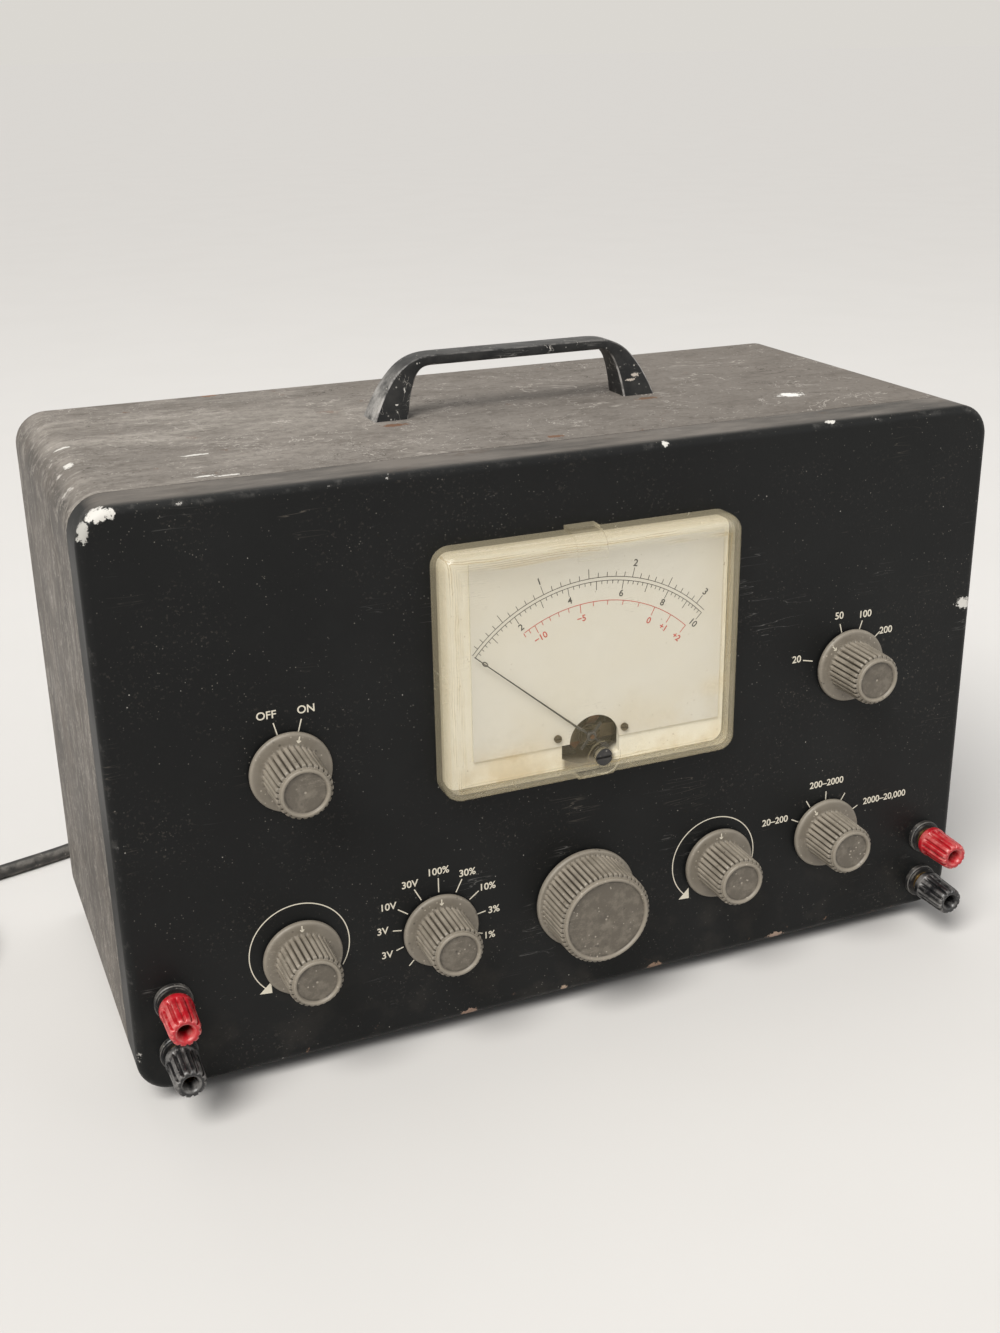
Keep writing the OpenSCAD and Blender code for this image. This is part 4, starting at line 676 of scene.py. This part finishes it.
def metal(name, color, roughness, grime, brush=(1, 1, 1)):
    """Bare or plated metal with brushed grain, tarnish and specks."""
    p = Paint(name, color, roughness, 1.0)
    grain = p.noise(420, 4, 2, stretch=brush)
    p.mix([0.78 * c for c in color], 0.6, p.between(grain, 0.4, 0.7))
    p.mix(grime, 0.5, p.patch(0.5, 0.74, 70, 6, 5, rough=0.7))
    add_specks(p, grime, 500, 0.22, 0.7)
    return p.done(p.noise(110, 5, 8), max(roughness - 0.12, 0.08), roughness + 0.2, grain, 0.00003)


def plastic(name, color, roughness, dust, lift=0.0001):
    """Moulded plastic or rubber with worn edges, dust and small pits."""
    p = Paint(name, color, roughness)
    pale = (0.3, 0.28, 0.25)
    p.mix(DUST, dust, p.patch(0.48, 0.78, 120, 6, 3, rough=0.7))
    p.mix([0.6 * c for c in color], 0.6, p.patch(0.4, 0.75, 38, 4, 13))
    add_specks(p, pale, 520, 0.2, 0.8)
    wear = add_edge_wear(p, [0.5 * c + 0.5 * w for c, w in zip(color, pale)], 0.4, 0.6, 0.7)
    gloss = p.plus(p.noise(150, 5, 6), p.times(wear, 0.2))
    return p.done(gloss, roughness - 0.12, roughness + 0.22, p.noise(480, 4, 9), lift)


def cap_plastic(name, color, pale):
    """Glossy moulded cap, dulled on its ribs and dirty in its grooves."""
    p = Paint(name, color, 0.24, specular=0.6)
    p.mix([0.55 * c for c in color], 0.7, p.patch(0.4, 0.75, 230, 5, 2))
    p.mix(pale, 0.45, p.patch(0.56, 0.7, 150, 6, 6, rough=0.75))
    wear = add_edge_wear(p, pale, 0.4, 0.6, 0.6, 3)
    add_specks(p, pale, 700, 0.2, 0.8)
    return p.done(p.plus(p.noise(260, 5, 4), p.times(wear, 0.3)), 0.14, 0.46, p.noise(500, 3), 0.00006)


def wound_paper():
    """Varnished paper round the winding, with its layers' edges."""
    p = Paint("winding_paper", (0.42, 0.27, 0.11), 0.5)
    layers = p.noise(120, 3, 2, stretch=(1, 1, 12))
    p.mix((0.28, 0.16, 0.06), 0.7, p.between(layers, 0.4, 0.65))
    p.mix((0.12, 0.07, 0.03), 0.5, p.patch(0.5, 0.7, 60, 5, 7))
    return p.done(p.noise(90, 4), 0.3, 0.6, layers, 0.0002)


def laminations():
    """Stacked and varnished transformer iron."""
    p = Paint("core_iron", (0.1, 0.1, 0.105), 0.5, 0.7)
    sheets = p.noise(600, 1, 1, stretch=(0.02, 3, 0.02))
    p.mix((0.045, 0.042, 0.04), 0.8, p.between(sheets, 0.42, 0.58))
    p.mix(RUST, 0.6, p.patch(0.52, 0.7, 70, 5, 4))
    return p.done(p.noise(90, 4), 0.35, 0.65, sheets, 0.0001)


def tube_glass():
    """Clear envelope with a silver getter at its top."""
    p = Paint("tube_glass", (0.55, 0.58, 0.58), 0.06)
    getter = p.ramp(Z, 112, 120)
    p.mix((0.25, 0.25, 0.26), 1, getter)
    p.mix(DUST, 0.4, p.patch(0.55, 0.7, 140, 4))
    haze = p.patch(0.4, 0.7, 60, 5, 3)
    p.shade("Alpha", p.plus(p.times(getter, 0.7), p.times(haze, 0.15), 0.22))
    return p.done(p.noise(90, 4, 5), 0.04, 0.25, p.noise(40, 2), 0.0001)


def tie_strap():
    """Grey twist-tie band."""
    p = Paint("tie_grey", (0.19, 0.19, 0.175), 0.6)
    p.mix((0.12, 0.12, 0.11), 0.7, p.patch(0.4, 0.6, 500, 3, stretch=(1, 1, 0.3)))
    p.mix(DUST, 0.5, p.patch(0.5, 0.7, 110, 5, 4))
    return p.done(p.noise(200, 4), 0.45, 0.75, p.noise(700, 3), 0.0001)


def braid():
    """Waxed woven dial cord."""
    p = Paint("cord_string", (0.46, 0.4, 0.27), 0.8)
    p.mix((0.26, 0.21, 0.13), 0.8, p.patch(0.4, 0.6, 2600, 2))
    return p.done(p.noise(900, 2), 0.6, 0.9, p.noise(2600, 2), 0.0001)


rubber = plastic("rubber_black", (0.018, 0.018, 0.018), 0.62, 0.45)
cord_rubber = plastic("cord_rubber", (0.02, 0.019, 0.018), 0.55, 0.4, 0.00006)
black_plastic = plastic("plastic_black", (0.014, 0.014, 0.015), 0.34, 0.3, 0.00005)
pointer_black = plastic("pointer_black", (0.02, 0.02, 0.02), 0.5, 0.15, 0.00002)
handle_black = bar_paint()
print_cream = ink("print_cream", (0.66, 0.61, 0.5), 0.15)
print_black = ink("print_black", (0.055, 0.052, 0.047), 0.25)
print_red = ink("print_red", (0.5, 0.065, 0.045), 0.4)
red_cap = cap_plastic("cap_red", (0.42, 0.008, 0.016), (0.6, 0.2, 0.18))
black_cap = cap_plastic("cap_black", (0.01, 0.01, 0.011), (0.22, 0.21, 0.2))


# Knobs

SKIRT_FRONT = 2.8
KNOB_TAPER = 0.2
INDEX_FROM = 10.6
INDEX_TO = 13.0
SMALL_KNOB = {"skirt_r": 14, "root": 8.75, "rib_h": 1.1, "ribs": 28}
LARGE_KNOB = {"skirt_r": 19.5, "root": 16.8, "rib_h": 1.2, "ribs": 54, "skirt_s": 3.0}

# The front of a knob: how far in from its barrel, the share of the ribs' height, and the distance forward
KNOB_TIP = [
    (0, 0.96, 17.4), (0, 0.84, 17.75), (-0.02, 0.6, 18.0), (0, 0.25, 18.15), (0.1, 0, 18.25), (0.12, 0, 18.8),
    (0.2, 0, 19.15), (0.45, 0, 19.42), (0.8, 0, 19.5), (1.15, 0, 19.4), (1.35, 0, 19.15), (1.45, 0, 18.8),
    (1.6, 0, 18.62), (2.0, 0, 18.55),
]
KNOB_CENTRE = [(1.0, 0, 18.62), (0.7, 0, 18.45), (0.3, 0, 18.4)]


def add_knob(name, node, body, at, angle, skirt_r, root, rib_h, ribs, skirt_s=SKIRT_FRONT):
    """A moulded knob: skirt, fluted barrel, smooth front ring and dished face."""
    crest = root + rib_h
    stages = [
        (skirt_r - 0.3, 0, 0.8), (skirt_r, 0, 1.1), (skirt_r, 0, skirt_s - 0.8),
        (skirt_r - 0.25, 0, skirt_s - 0.25), (skirt_r - 0.9, 0, skirt_s), (crest + 0.9, 0, skirt_s + 0.05),
        (crest + 0.2, 0, skirt_s + 0.15), (root + 0.15, 0.9, skirt_s + 0.5), (root, 1, skirt_s + 1),
    ]
    barrel = 17.0 - (skirt_s + 1)
    stages += [(root - KNOB_TAPER * k / 6, 1, skirt_s + 1 + barrel * k / 6) for k in range(1, 7)]
    root = root - KNOB_TAPER
    stages += [(root - inset, share, s) for inset, share, s in KNOB_TIP]
    stages += [(root * 0.6, 0, 18.6), (root * 0.3, 0, 18.62), *KNOB_CENTRE]

    def fluted(stage, a):
        """The radius at an angle: rounded ribs between narrow slots."""
        wave = 0.5 + 0.5 * math.cos(a * ribs)
        return stage[0] + rib_h * stage[1] * (1 - (1 - wave) ** 4)

    bm = bmesh.new()
    add_rings(bm, turned_rings(stages, panel_turn(*at, angle), ribs * 14, fluted))
    paint = knob_plastic(name + "_plastic", *at, root, root + rib_h, skirt_r)
    knob = add_object(name, bm, paint, body, 50)
    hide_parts(node)


def add_index(name, body, at, angle):
    """The painted index on a small knob's skirt: a line with a small arrowhead."""
    bm = bmesh.new()
    place = panel_turn(*at, angle)
    tip = place @ Matrix.Translation((0, 0, (INDEX_FROM + 0.1) * MM))
    bars = [(place, 0.22, 0.06, INDEX_FROM, INDEX_TO)]
    bars += [(tip @ Matrix.Rotation(math.radians(lean), 4, "Y"), 0.2, 0.05, 0, 1.1) for lean in (-38, 38)]
    for turn, half, proud, r0, r1 in bars:
        low = (-half * MM, -(SKIRT_FRONT + proud) * MM, r0 * MM)
        add_box(bm, low, (half * MM, -(SKIRT_FRONT - 0.1) * MM, r1 * MM), turn)
    mark = add_object(name, bm, print_cream, body)


# Where the controls with printed marks stand on the panel
POWER_AT = (59.4, 111.3)
SENSITIVITY_AT = (109.5, 39.6)
RANGE_AT = (269.2, 44)
FREQUENCY_AT = (275.2, 112.9)

# Where each small knob stands, and how far round it rests
SMALL_KNOBS = {
    "power": (POWER_AT, 15),
    "level": ((59, 41.3), 0),
    "sensitivity": (SENSITIVITY_AT, 0),
    "range": (RANGE_AT, -30),
    "balance": ((221.7, 41.3), 0),
    "frequency": (FREQUENCY_AT, -45),
}

for name, (at, angle) in SMALL_KNOBS.items():
    control = name + "_control"
    add_knob(name + "_grip", name + "_knob", control, at, angle, **SMALL_KNOB)
    add_index(name + "_index", control, at, angle)

add_knob("tuning_grip", "tuning_knob", "tuning_control", (166.1, 39.4), 0, **LARGE_KNOB)


# Binding post caps

CAP_GROOVES = 12
GROOVE_DEPTH = 0.95

# Stages of a cap from its collar round its end and into its socket: radius, share of the grooves, forward
CAP_STAGES = [
    (5.3, 0, 4.8), (5.75, 0, 5.0), (5.9, 0, 5.4), (5.9, 0, 7.0), (5.75, 0, 7.3), (5.6, 0.25, 7.6),
    (5.45, 0.8, 8.4), (5.4, 1, 9.2), (5.3, 1, 14), (5.2, 1, 18.6), (5.1, 1, 19.6), (4.9, 0.9, 20.2),
    (4.6, 0.6, 20.6), (4.2, 0.2, 20.8), (3.7, 0, 20.8), (3.25, 0, 20.7), (2.8, 0, 20.1), (2.5, 0, 19.4),
    (2.3, 0, 18.4), (2.1, 0, 16), (2.1, 0, 8.2),
]


def cap_radius(stage, a):
    """The radius of a cap at an angle: deep grooves between broad ribs."""
    dip = max(0, math.cos(a * CAP_GROOVES)) ** 1.6
    return stage[0] * (1 + 0.04 * stage[1]) - GROOVE_DEPTH * stage[1] * dip


def add_cap(name, at, material):
    """A fluted cap with a collar, deep grooves and a socket in its end."""
    bm = bmesh.new()
    add_rings(bm, turned_rings(CAP_STAGES, panel_turn(*at), CAP_GROOVES * 14, cap_radius))
    cap = add_object(name + "_grip", bm, material, name, 50)
    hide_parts(name)


POST_PITCH = 20

for side, x, z in (("input", 14, 15.2), ("output", 317, 11.7)):
    add_cap(side + "_red_cap", (x, z + POST_PITCH), red_cap)
    add_cap(side + "_black_cap", (x, z), black_cap)


# Silkscreen and scale print, as thin raised ink on a face at a distance forward

INK_T = 0.05


def add_bar(bm, place, r0, r1, width, s):
    """A straight bar of ink from one radius to another, along +Z of its place."""
    half = width / 2 * MM
    add_box(bm, (-half, -(s + INK_T) * MM, r0 * MM), (half, -(s - INK_T) * MM, r1 * MM), place)


def polar(at, r, angle):
    """A place [x, z] at a radius and a clockwise angle from straight up."""
    a = math.radians(angle)
    return at[0] + r * math.sin(a), at[1] + r * math.cos(a)


def add_arc(bm, at, r, width, start, end, s):
    """A curved line of ink; angles run clockwise from straight up."""
    steps = max(8, int(abs(end - start) / 2))
    inner, outer = r - width / 2, r + width / 2
    rings = []
    for k in range(steps + 1):
        angle = start + (end - start) * k / steps
        ring = []
        for radius, rise in ((inner, -INK_T), (outer, -INK_T), (outer, INK_T), (inner, INK_T)):
            x, z = polar(at, radius, angle)
            ring.append(spot(x, -(s + rise), z))
        rings.append(ring)
    add_rings(bm, rings)


def add_words(bm, words, at, height, s, angle=0):
    """Figures centred on a place [x, z], turned clockwise, as ink of its own thickness."""
    data = bpy.data.curves.new("words", "FONT")
    data.body = words
    data.align_x = data.align_y = "CENTER"
    data.size = height / 0.72 * MM
    data.extrude = INK_T * MM
    data.offset = 0.05 * MM
    made = new_object("words", data)
    bpy.context.view_layer.update()
    mesh = bpy.data.meshes.new_from_object(made.evaluated_get(bpy.context.evaluated_depsgraph_get()))
    turn = Matrix.Rotation(math.radians(angle), 4, "Y") @ Matrix.Rotation(math.radians(90), 4, "X")
    mesh.transform(Matrix.Translation(spot(at[0], -s, at[1])) @ turn)
    bm.from_mesh(mesh)
    bpy.data.objects.remove(made)
    bpy.data.curves.remove(data)
    bpy.data.meshes.remove(mesh)


# Marks round a control: angle, figures, and the figures' own angle and radius
SENSITIVITY_MARKS = [
    (-136, "", 0, 0), (-107, "3V", -107, 20.9), (-80, "3V", -80, 21.6), (-54, "10V", -55.6, 22.9),
    (-27, "30V", -28, 22.6), (0, "100%", 0, 22.8), (26.5, "30%", 28.8, 22.7), (52.5, "10%", 55.7, 22.3),
    (81, "3%", 82.6, 20.9), (110.8, "1%", 111.5, 20.2),
]
RANGE_MARKS = [
    (-62, "20–200", -68.4, 24.1), (-31, "", 0, 0), (0, "200–2000", 0, 20.6), (31, "", 0, 0),
    (62, "2000–20,000", 72, 28.9),
]
FREQUENCY_START = [(-77, "20", -76.8, 23.4)]
FREQUENCY_MARKS = [(-16, "50", -15, 20.5), (17, "100", 17.9, 19.8), (51, "200", 55.4, 19.4)]
POWER_MARKS = [(-14, "OFF", -17.6, 21.5), (16, "ON", 18.3, 21.6)]
LABEL_H = 2.75
TICK_W = 0.4
TURN_ARROW_W = 0.36


def add_ticks(bm, at, marks, r0, r1, longer=0):
    """A control's ring of ticks, with its figures beyond them."""
    for angle, words, words_angle, words_r in marks:
        reach = r1 + longer * max(0, math.cos(math.radians(angle)))
        add_bar(bm, panel_turn(*at, angle), r0, reach, TICK_W, 0)
        if words:
            add_words(bm, words, polar(at, words_r, words_angle), LABEL_H, 0)


def add_turn_arrow(bm, at, r, start, end):
    """An arc that ends in an arrowhead, for a control that turns freely."""
    add_arc(bm, at, r, TURN_ARROW_W, start, end, 0)
    tip = polar(polar(at, r, end), 3.3, end - 90)
    corners = [polar(at, r + 2.9, end), polar(at, r - 2.9, end), tip]
    add_rings(bm, [[spot(x, y, z) for x, z in corners] for y in (INK_T, -INK_T)])


def add_panel_print():
    """Ticks, figures and turning arrows on the panel, without words."""
    bm = bmesh.new()
    add_ticks(bm, SENSITIVITY_AT, SENSITIVITY_MARKS, 14.5, 17.3, 2.8)
    add_ticks(bm, RANGE_AT, RANGE_MARKS, 13.5, 17)
    add_ticks(bm, FREQUENCY_AT, FREQUENCY_START, 16.2, 20.5)
    add_ticks(bm, FREQUENCY_AT, FREQUENCY_MARKS, 13.5, 17.2)
    add_ticks(bm, POWER_AT, POWER_MARKS, 13.6, 18.1)
    add_turn_arrow(bm, (58.4, 43.7), 17.7, 123, -133)
    add_turn_arrow(bm, (220.1, 42.7), 17.4, 104, -135)
    ink_piece = add_object("panel_print", bm, print_cream, "case")


PIVOT = (168.4, 103.4)
SCALE_S = 3.0
SCALE_R = 59.4
LOWER_R = SCALE_R - 1.3
SCALE_LINE = 0.22
SCALE_START = -49.5
SCALE_END = 45.5
RED_R = 51.0
RED_START = -31.0
RED_LINE = 0.24

# How far the pointer has turned at each number of the 0 to 10 scale, and what the other scales have there
SCALE_TURNS = [0, 8.6, 18.6, 29.0, 39.3, 49.9, 60.1, 69.6, 78.4, 87.2, 95.0]
UPPER_FULL = 3.162
DECIBEL_ZERO = 7.75


def scale_angle(value):
    """The pointer's angle at a value of the 0 to 10 scale."""
    k = min(int(value), 9)
    return SCALE_START + SCALE_TURNS[k] + (SCALE_TURNS[k + 1] - SCALE_TURNS[k]) * (value - k)


def decibel_angle(level):
    """The pointer's angle at a level in decibels."""
    return scale_angle(DECIBEL_ZERO * 10 ** (level / 20))


def add_marks(bm, angles, r, out, each, height):
    """A scale's marks from a radius, longer at each fifth, with figures at each tenth."""
    for k, angle in angles:
        long = k % 5 == 0
        ends = sorted((r, r + (out[0] if long else out[1])))
        add_bar(bm, panel_turn(*PIVOT, angle), *ends, SCALE_LINE, SCALE_S)
        if k % 10 == 0:
            add_words(bm, str(k // each), polar(PIVOT, r + out[2], angle), height, SCALE_S, angle)


def add_scale_print():
    """Two scales on a double arc, and the decibel arc in red below them."""
    black, red = bmesh.new(), bmesh.new()
    for r in (SCALE_R, LOWER_R):
        add_arc(black, PIVOT, r, SCALE_LINE, SCALE_START, SCALE_END, SCALE_S)
    upper = [(k, scale_angle(k / UPPER_FULL)) for k in range(1, 31)]
    lower = [(k, scale_angle(k / 5)) for k in range(51)]
    add_marks(black, upper, SCALE_R, (3.4, 1.7, 5.0), 10, 2.5)
    add_marks(black, lower, LOWER_R, (-3.1, -1.2, -4.7), 5, 2.4)
    add_arc(red, PIVOT, RED_R, RED_LINE, RED_START, decibel_angle(2), SCALE_S)
    for level in range(-12, 3):
        angle = decibel_angle(level)
        long = level in (-10, -5, 0, 1, 2)
        add_bar(red, panel_turn(*PIVOT, angle), RED_R - (3.2 if long else 1.6), RED_R, RED_LINE, SCALE_S)
        if long:
            words = f"+{level}" if level > 0 else f"−{-level}" if level else "0"
            add_words(red, words, polar(PIVOT, RED_R - 5.2, angle), 2.3, SCALE_S, angle)
    for name, bm, paint in (("scale_print_black", black, print_black), ("scale_print_red", red, print_red)):
        piece = add_object(name, bm, paint, "case")


add_panel_print()
add_scale_print()


# Pointer: the CAD solid's layout with a finer blade

POINTER_STEP = 7.9
HUB_PROFILE = [(1.7, -0.5), (1.8, -0.4), (1.8, 1.0), (1.6, 1.15)]

# The tail, balance arms, counterweight and step, by two corners: across, out from the pivot, and forward
POINTER_PARTS = [
    ((-0.45, -8.4, 0.1), (0.45, POINTER_STEP + 0.5, 0.55)), ((-6, -0.5, 0.1), (6, 0.5, 0.5)),
    ((-1.2, -8.5, -0.2), (1.2, -5.8, 0.85)), ((-0.45, POINTER_STEP, 0.1), (0.45, POINTER_STEP + 0.5, 4.9)),
]

# Sections of the blade: the distance out and half its width
BLADE = [(POINTER_STEP, 0.45), (20, 0.32), (59.3, 0.17)]


def add_pointer():
    """A hub with a tail and balance arms, and a thin blade out over the scale."""
    bm = bmesh.new()
    place = panel_turn(*PIVOT, SCALE_START)
    add_rings(bm, turned_rings(HUB_PROFILE, place, 48))
    for low, high in POINTER_PARTS:
        near = Vector((low[0], -high[2], low[1])) * MM
        far = Vector((high[0], -low[2], high[1])) * MM
        add_box(bm, near, far, place)
    rings = []
    for out, half in BLADE:
        ring = [(-half, 4.5), (half, 4.5), (half * 0.6, 4.95), (-half * 0.6, 4.95)]
        rings.append([place @ (Vector((x, -s, out)) * MM) for x, s in ring])
    add_rings(bm, rings)
    piece = add_object("scale_pointer", bm, pointer_black, "pointer_movement", 40)
    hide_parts("pointer")


add_pointer()


# Handle: sections of the flared legs and the thin grip, each a rectangle with rounded corners

HANDLE_X0 = 117
HANDLE_X1 = 229.3
HANDLE_Y = 78.6
HANDLE_R = 0.85
HANDLE_H = 22
GRIP_UNDER = 18.2
FOOT_W = 12.9
LEG_STEPS = 24


def handle_section(outer, inner):
    """A ring round the bar between a point of its outer and one of its inner curve."""
    along = (Vector(inner) - Vector(outer)).normalized()
    ring = []
    for point, turn in ((outer, 1), (inner, -1)):
        half = 6.75 - 1.75 * min(max(point[1], 0) / 15, 1)
        for side in (turn, -turn):
            for k in range(7):
                a = math.radians(15 * k if side == turn else 90 - 15 * k)
                depth = side * (half - HANDLE_R + HANDLE_R * math.cos(a))
                inset = HANDLE_R - HANDLE_R * math.sin(a)
                place = Vector(point) + along * inset * turn
                ring.append(spot(place.x, HANDLE_Y + depth, CASE_H + place.y))
    return ring


def add_handle():
    """The handle with its small edge radius, swept from foot to foot."""
    pairs = []
    for k in range(LEG_STEPS + 1):
        t = 1 - (1 - k / LEG_STEPS) ** 1.3
        outer = (HANDLE_X0 + 27 * t, HANDLE_H * (1 - (1 - t) ** 3))
        inner = (HANDLE_X0 + FOOT_W + 12 * t, GRIP_UNDER * (1 - (1 - t) ** 4))
        pairs.append((outer, inner))
    across = HANDLE_X0 + HANDLE_X1
    pairs += [((across - o[0], o[1]), (across - i[0], i[1])) for o, i in reversed(pairs)]
    bm = bmesh.new()
    add_rings(bm, [handle_section(outer, inner) for outer, inner in pairs])
    piece = add_object("carrying_handle", bm, handle_black, "case", 50)
    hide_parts("handle")


add_handle()


# Finishes of the CAD solids that stay

FINISHES = {
    panel_paint(): ["front_panel"],
    cabinet_paint("cabinet_black"): ["cabinet_shell"],
    cabinet_paint("rear_black", 0.6): ["rear_cover"],
    metal("zinc_plate", (0.56, 0.56, 0.54), 0.3, (0.1, 0.085, 0.065)): [
        "case_screws", "chassis", "control_nuts", "switch_frames",
    ],
    rubber: ["feet"],
    metal("brass_bare", (0.55, 0.38, 0.15), 0.28, (0.1, 0.06, 0.025)): [
        "plug_prongs", "post_studs", "input_red_insert", "input_black_insert", "output_red_insert",
        "output_black_insert",
    ],
    metal("bronze_dark", (0.13, 0.105, 0.07), 0.42, (0.03, 0.022, 0.014)): [
        "meter_studs", "meter_frame", "meter_hairspring", "scale_screws",
    ],
    tie_strap(): ["cord_tie"],
    case_cream(): ["meter_case"],
    clear_cover(): ["meter_cover"],
    scale_card(): ["scale_plate"],
    metal("magnet_dark", (0.06, 0.055, 0.05), 0.5, (0.02, 0.015, 0.01)): ["meter_magnet"],
    laminations(): ["transformer_core"],
    wound_paper(): ["transformer_winding"],
    metal("aluminium_bare", (0.6, 0.6, 0.6), 0.34, (0.14, 0.135, 0.125), (1, 1, 8)): [
        "filter_capacitor", "capacitor_frame", "capacitor_rotor",
    ],
    black_plastic: ["post_insulators", "tube_sockets", "zero_adjuster"],
    tube_glass(): ["vacuum_tubes"],
    plastic("phenolic_brown", (0.12, 0.05, 0.018), 0.5, 0.3, 0.00006): [
        "switch_wafers", "power_switch_body",
    ],
    metal("pot_metal", (0.42, 0.4, 0.35), 0.36, (0.09, 0.07, 0.05)): ["pot_bodies"],
    metal("shaft_steel", (0.5, 0.49, 0.46), 0.24, (0.08, 0.06, 0.045), (1, 6, 1)): [
        "power_shaft", "level_shaft", "sensitivity_rotor", "range_rotor", "balance_shaft", "tuning_shaft",
    ],
    # Painted shade: the moving coil's copper darkened, as it sits in shade inside the meter.
    metal("coil_copper", (0.17, 0.085, 0.05), 0.4, (0.04, 0.02, 0.012), (1, 1, 14)): ["moving_coil"],
    braid(): ["dial_cord"],
}

for material, names in FINISHES.items():
    for name in names:
        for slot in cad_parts[name].material_slots:
            slot.material = material


# The cord and what is on it

cord = add_cord(cord_rubber)
add_plug(rubber)
add_relief(rubber)


# Floor, light and surroundings

KEY_PLACE = (-0.9, -0.8, 1.5)


def add_floor():
    """A plain pale floor that runs out of sight."""
    bm = bmesh.new()
    bmesh.ops.create_grid(bm, x_segments=8, y_segments=8, size=60)
    mesh = bpy.data.meshes.new("floor")
    bm.to_mesh(mesh)
    bm.free()
    p = Paint("floor_pale", (0.62, 0.605, 0.585), 0.9, specular=0.0)
    p.mix((0.6, 0.585, 0.565), 0.4, p.patch(0.4, 0.7, 9, 3))
    mesh.materials.append(p.material)
    floor = new_object("floor", mesh)


def add_light(name, kind, place, target, strength, color, **shape):
    """A light that looks at a target."""
    data = bpy.data.lights.new(name, kind)
    for key, value in {"energy": strength, "color": color, **shape}.items():
        setattr(data, key, value)
    aim = (Vector(target) - Vector(place)).to_track_quat("-Z", "Y")
    new_object(name, data).matrix_world = Matrix.Translation(place) @ aim.to_matrix().to_4x4()


def add_world(seen, light):
    """A pale surround, brighter where the camera, mirrors and glass see it than as a light."""
    world = bpy.data.worlds.new("surround")
    bpy.context.scene.world = world
    world.use_nodes = True
    tree = world.node_tree
    rays = add_node(tree, "LightPath").outputs
    seen_by = rays["Is Camera Ray"]
    for kind in ("Is Glossy Ray", "Is Transmission Ray"):
        seen_by = add_node(tree, "Math", {0: seen_by, 1: rays[kind]}, operation="MAXIMUM").outputs[0]
    mix = add_node(tree, "MixShader", {0: seen_by})
    for k, grey in ((1, light), (2, seen)):
        fill(tree, mix, {k: add_node(tree, "Background", {"Color": (*grey, 1)}).outputs[0]})
    fill(tree, tree.nodes["World Output"], {"Surface": mix.outputs[0]})


add_floor()
add_world(seen=(0.703, 0.68, 0.64), light=(0.34, 0.34, 0.34))
add_light("sun", "SUN", KEY_PLACE, (0, 0, 0), 3.2, (1, 0.985, 0.96), angle=0.6)
add_light("key", "AREA", KEY_PLACE, (0, 0, 0.1), 5, (1, 0.97, 0.92), size=0.9)
add_light("fill", "AREA", (1.3, -1.1, 0.9), (0, 0, 0.1), 4, (0.95, 0.97, 1), size=1.2)
add_light("top", "AREA", (0.1, 0.5, 1.6), (0, 0, 0.2), 5, (1, 1, 1), shape="RECTANGLE", size=1.2, size_y=0.8)

bpy.context.scene.view_settings.view_transform = "Standard"
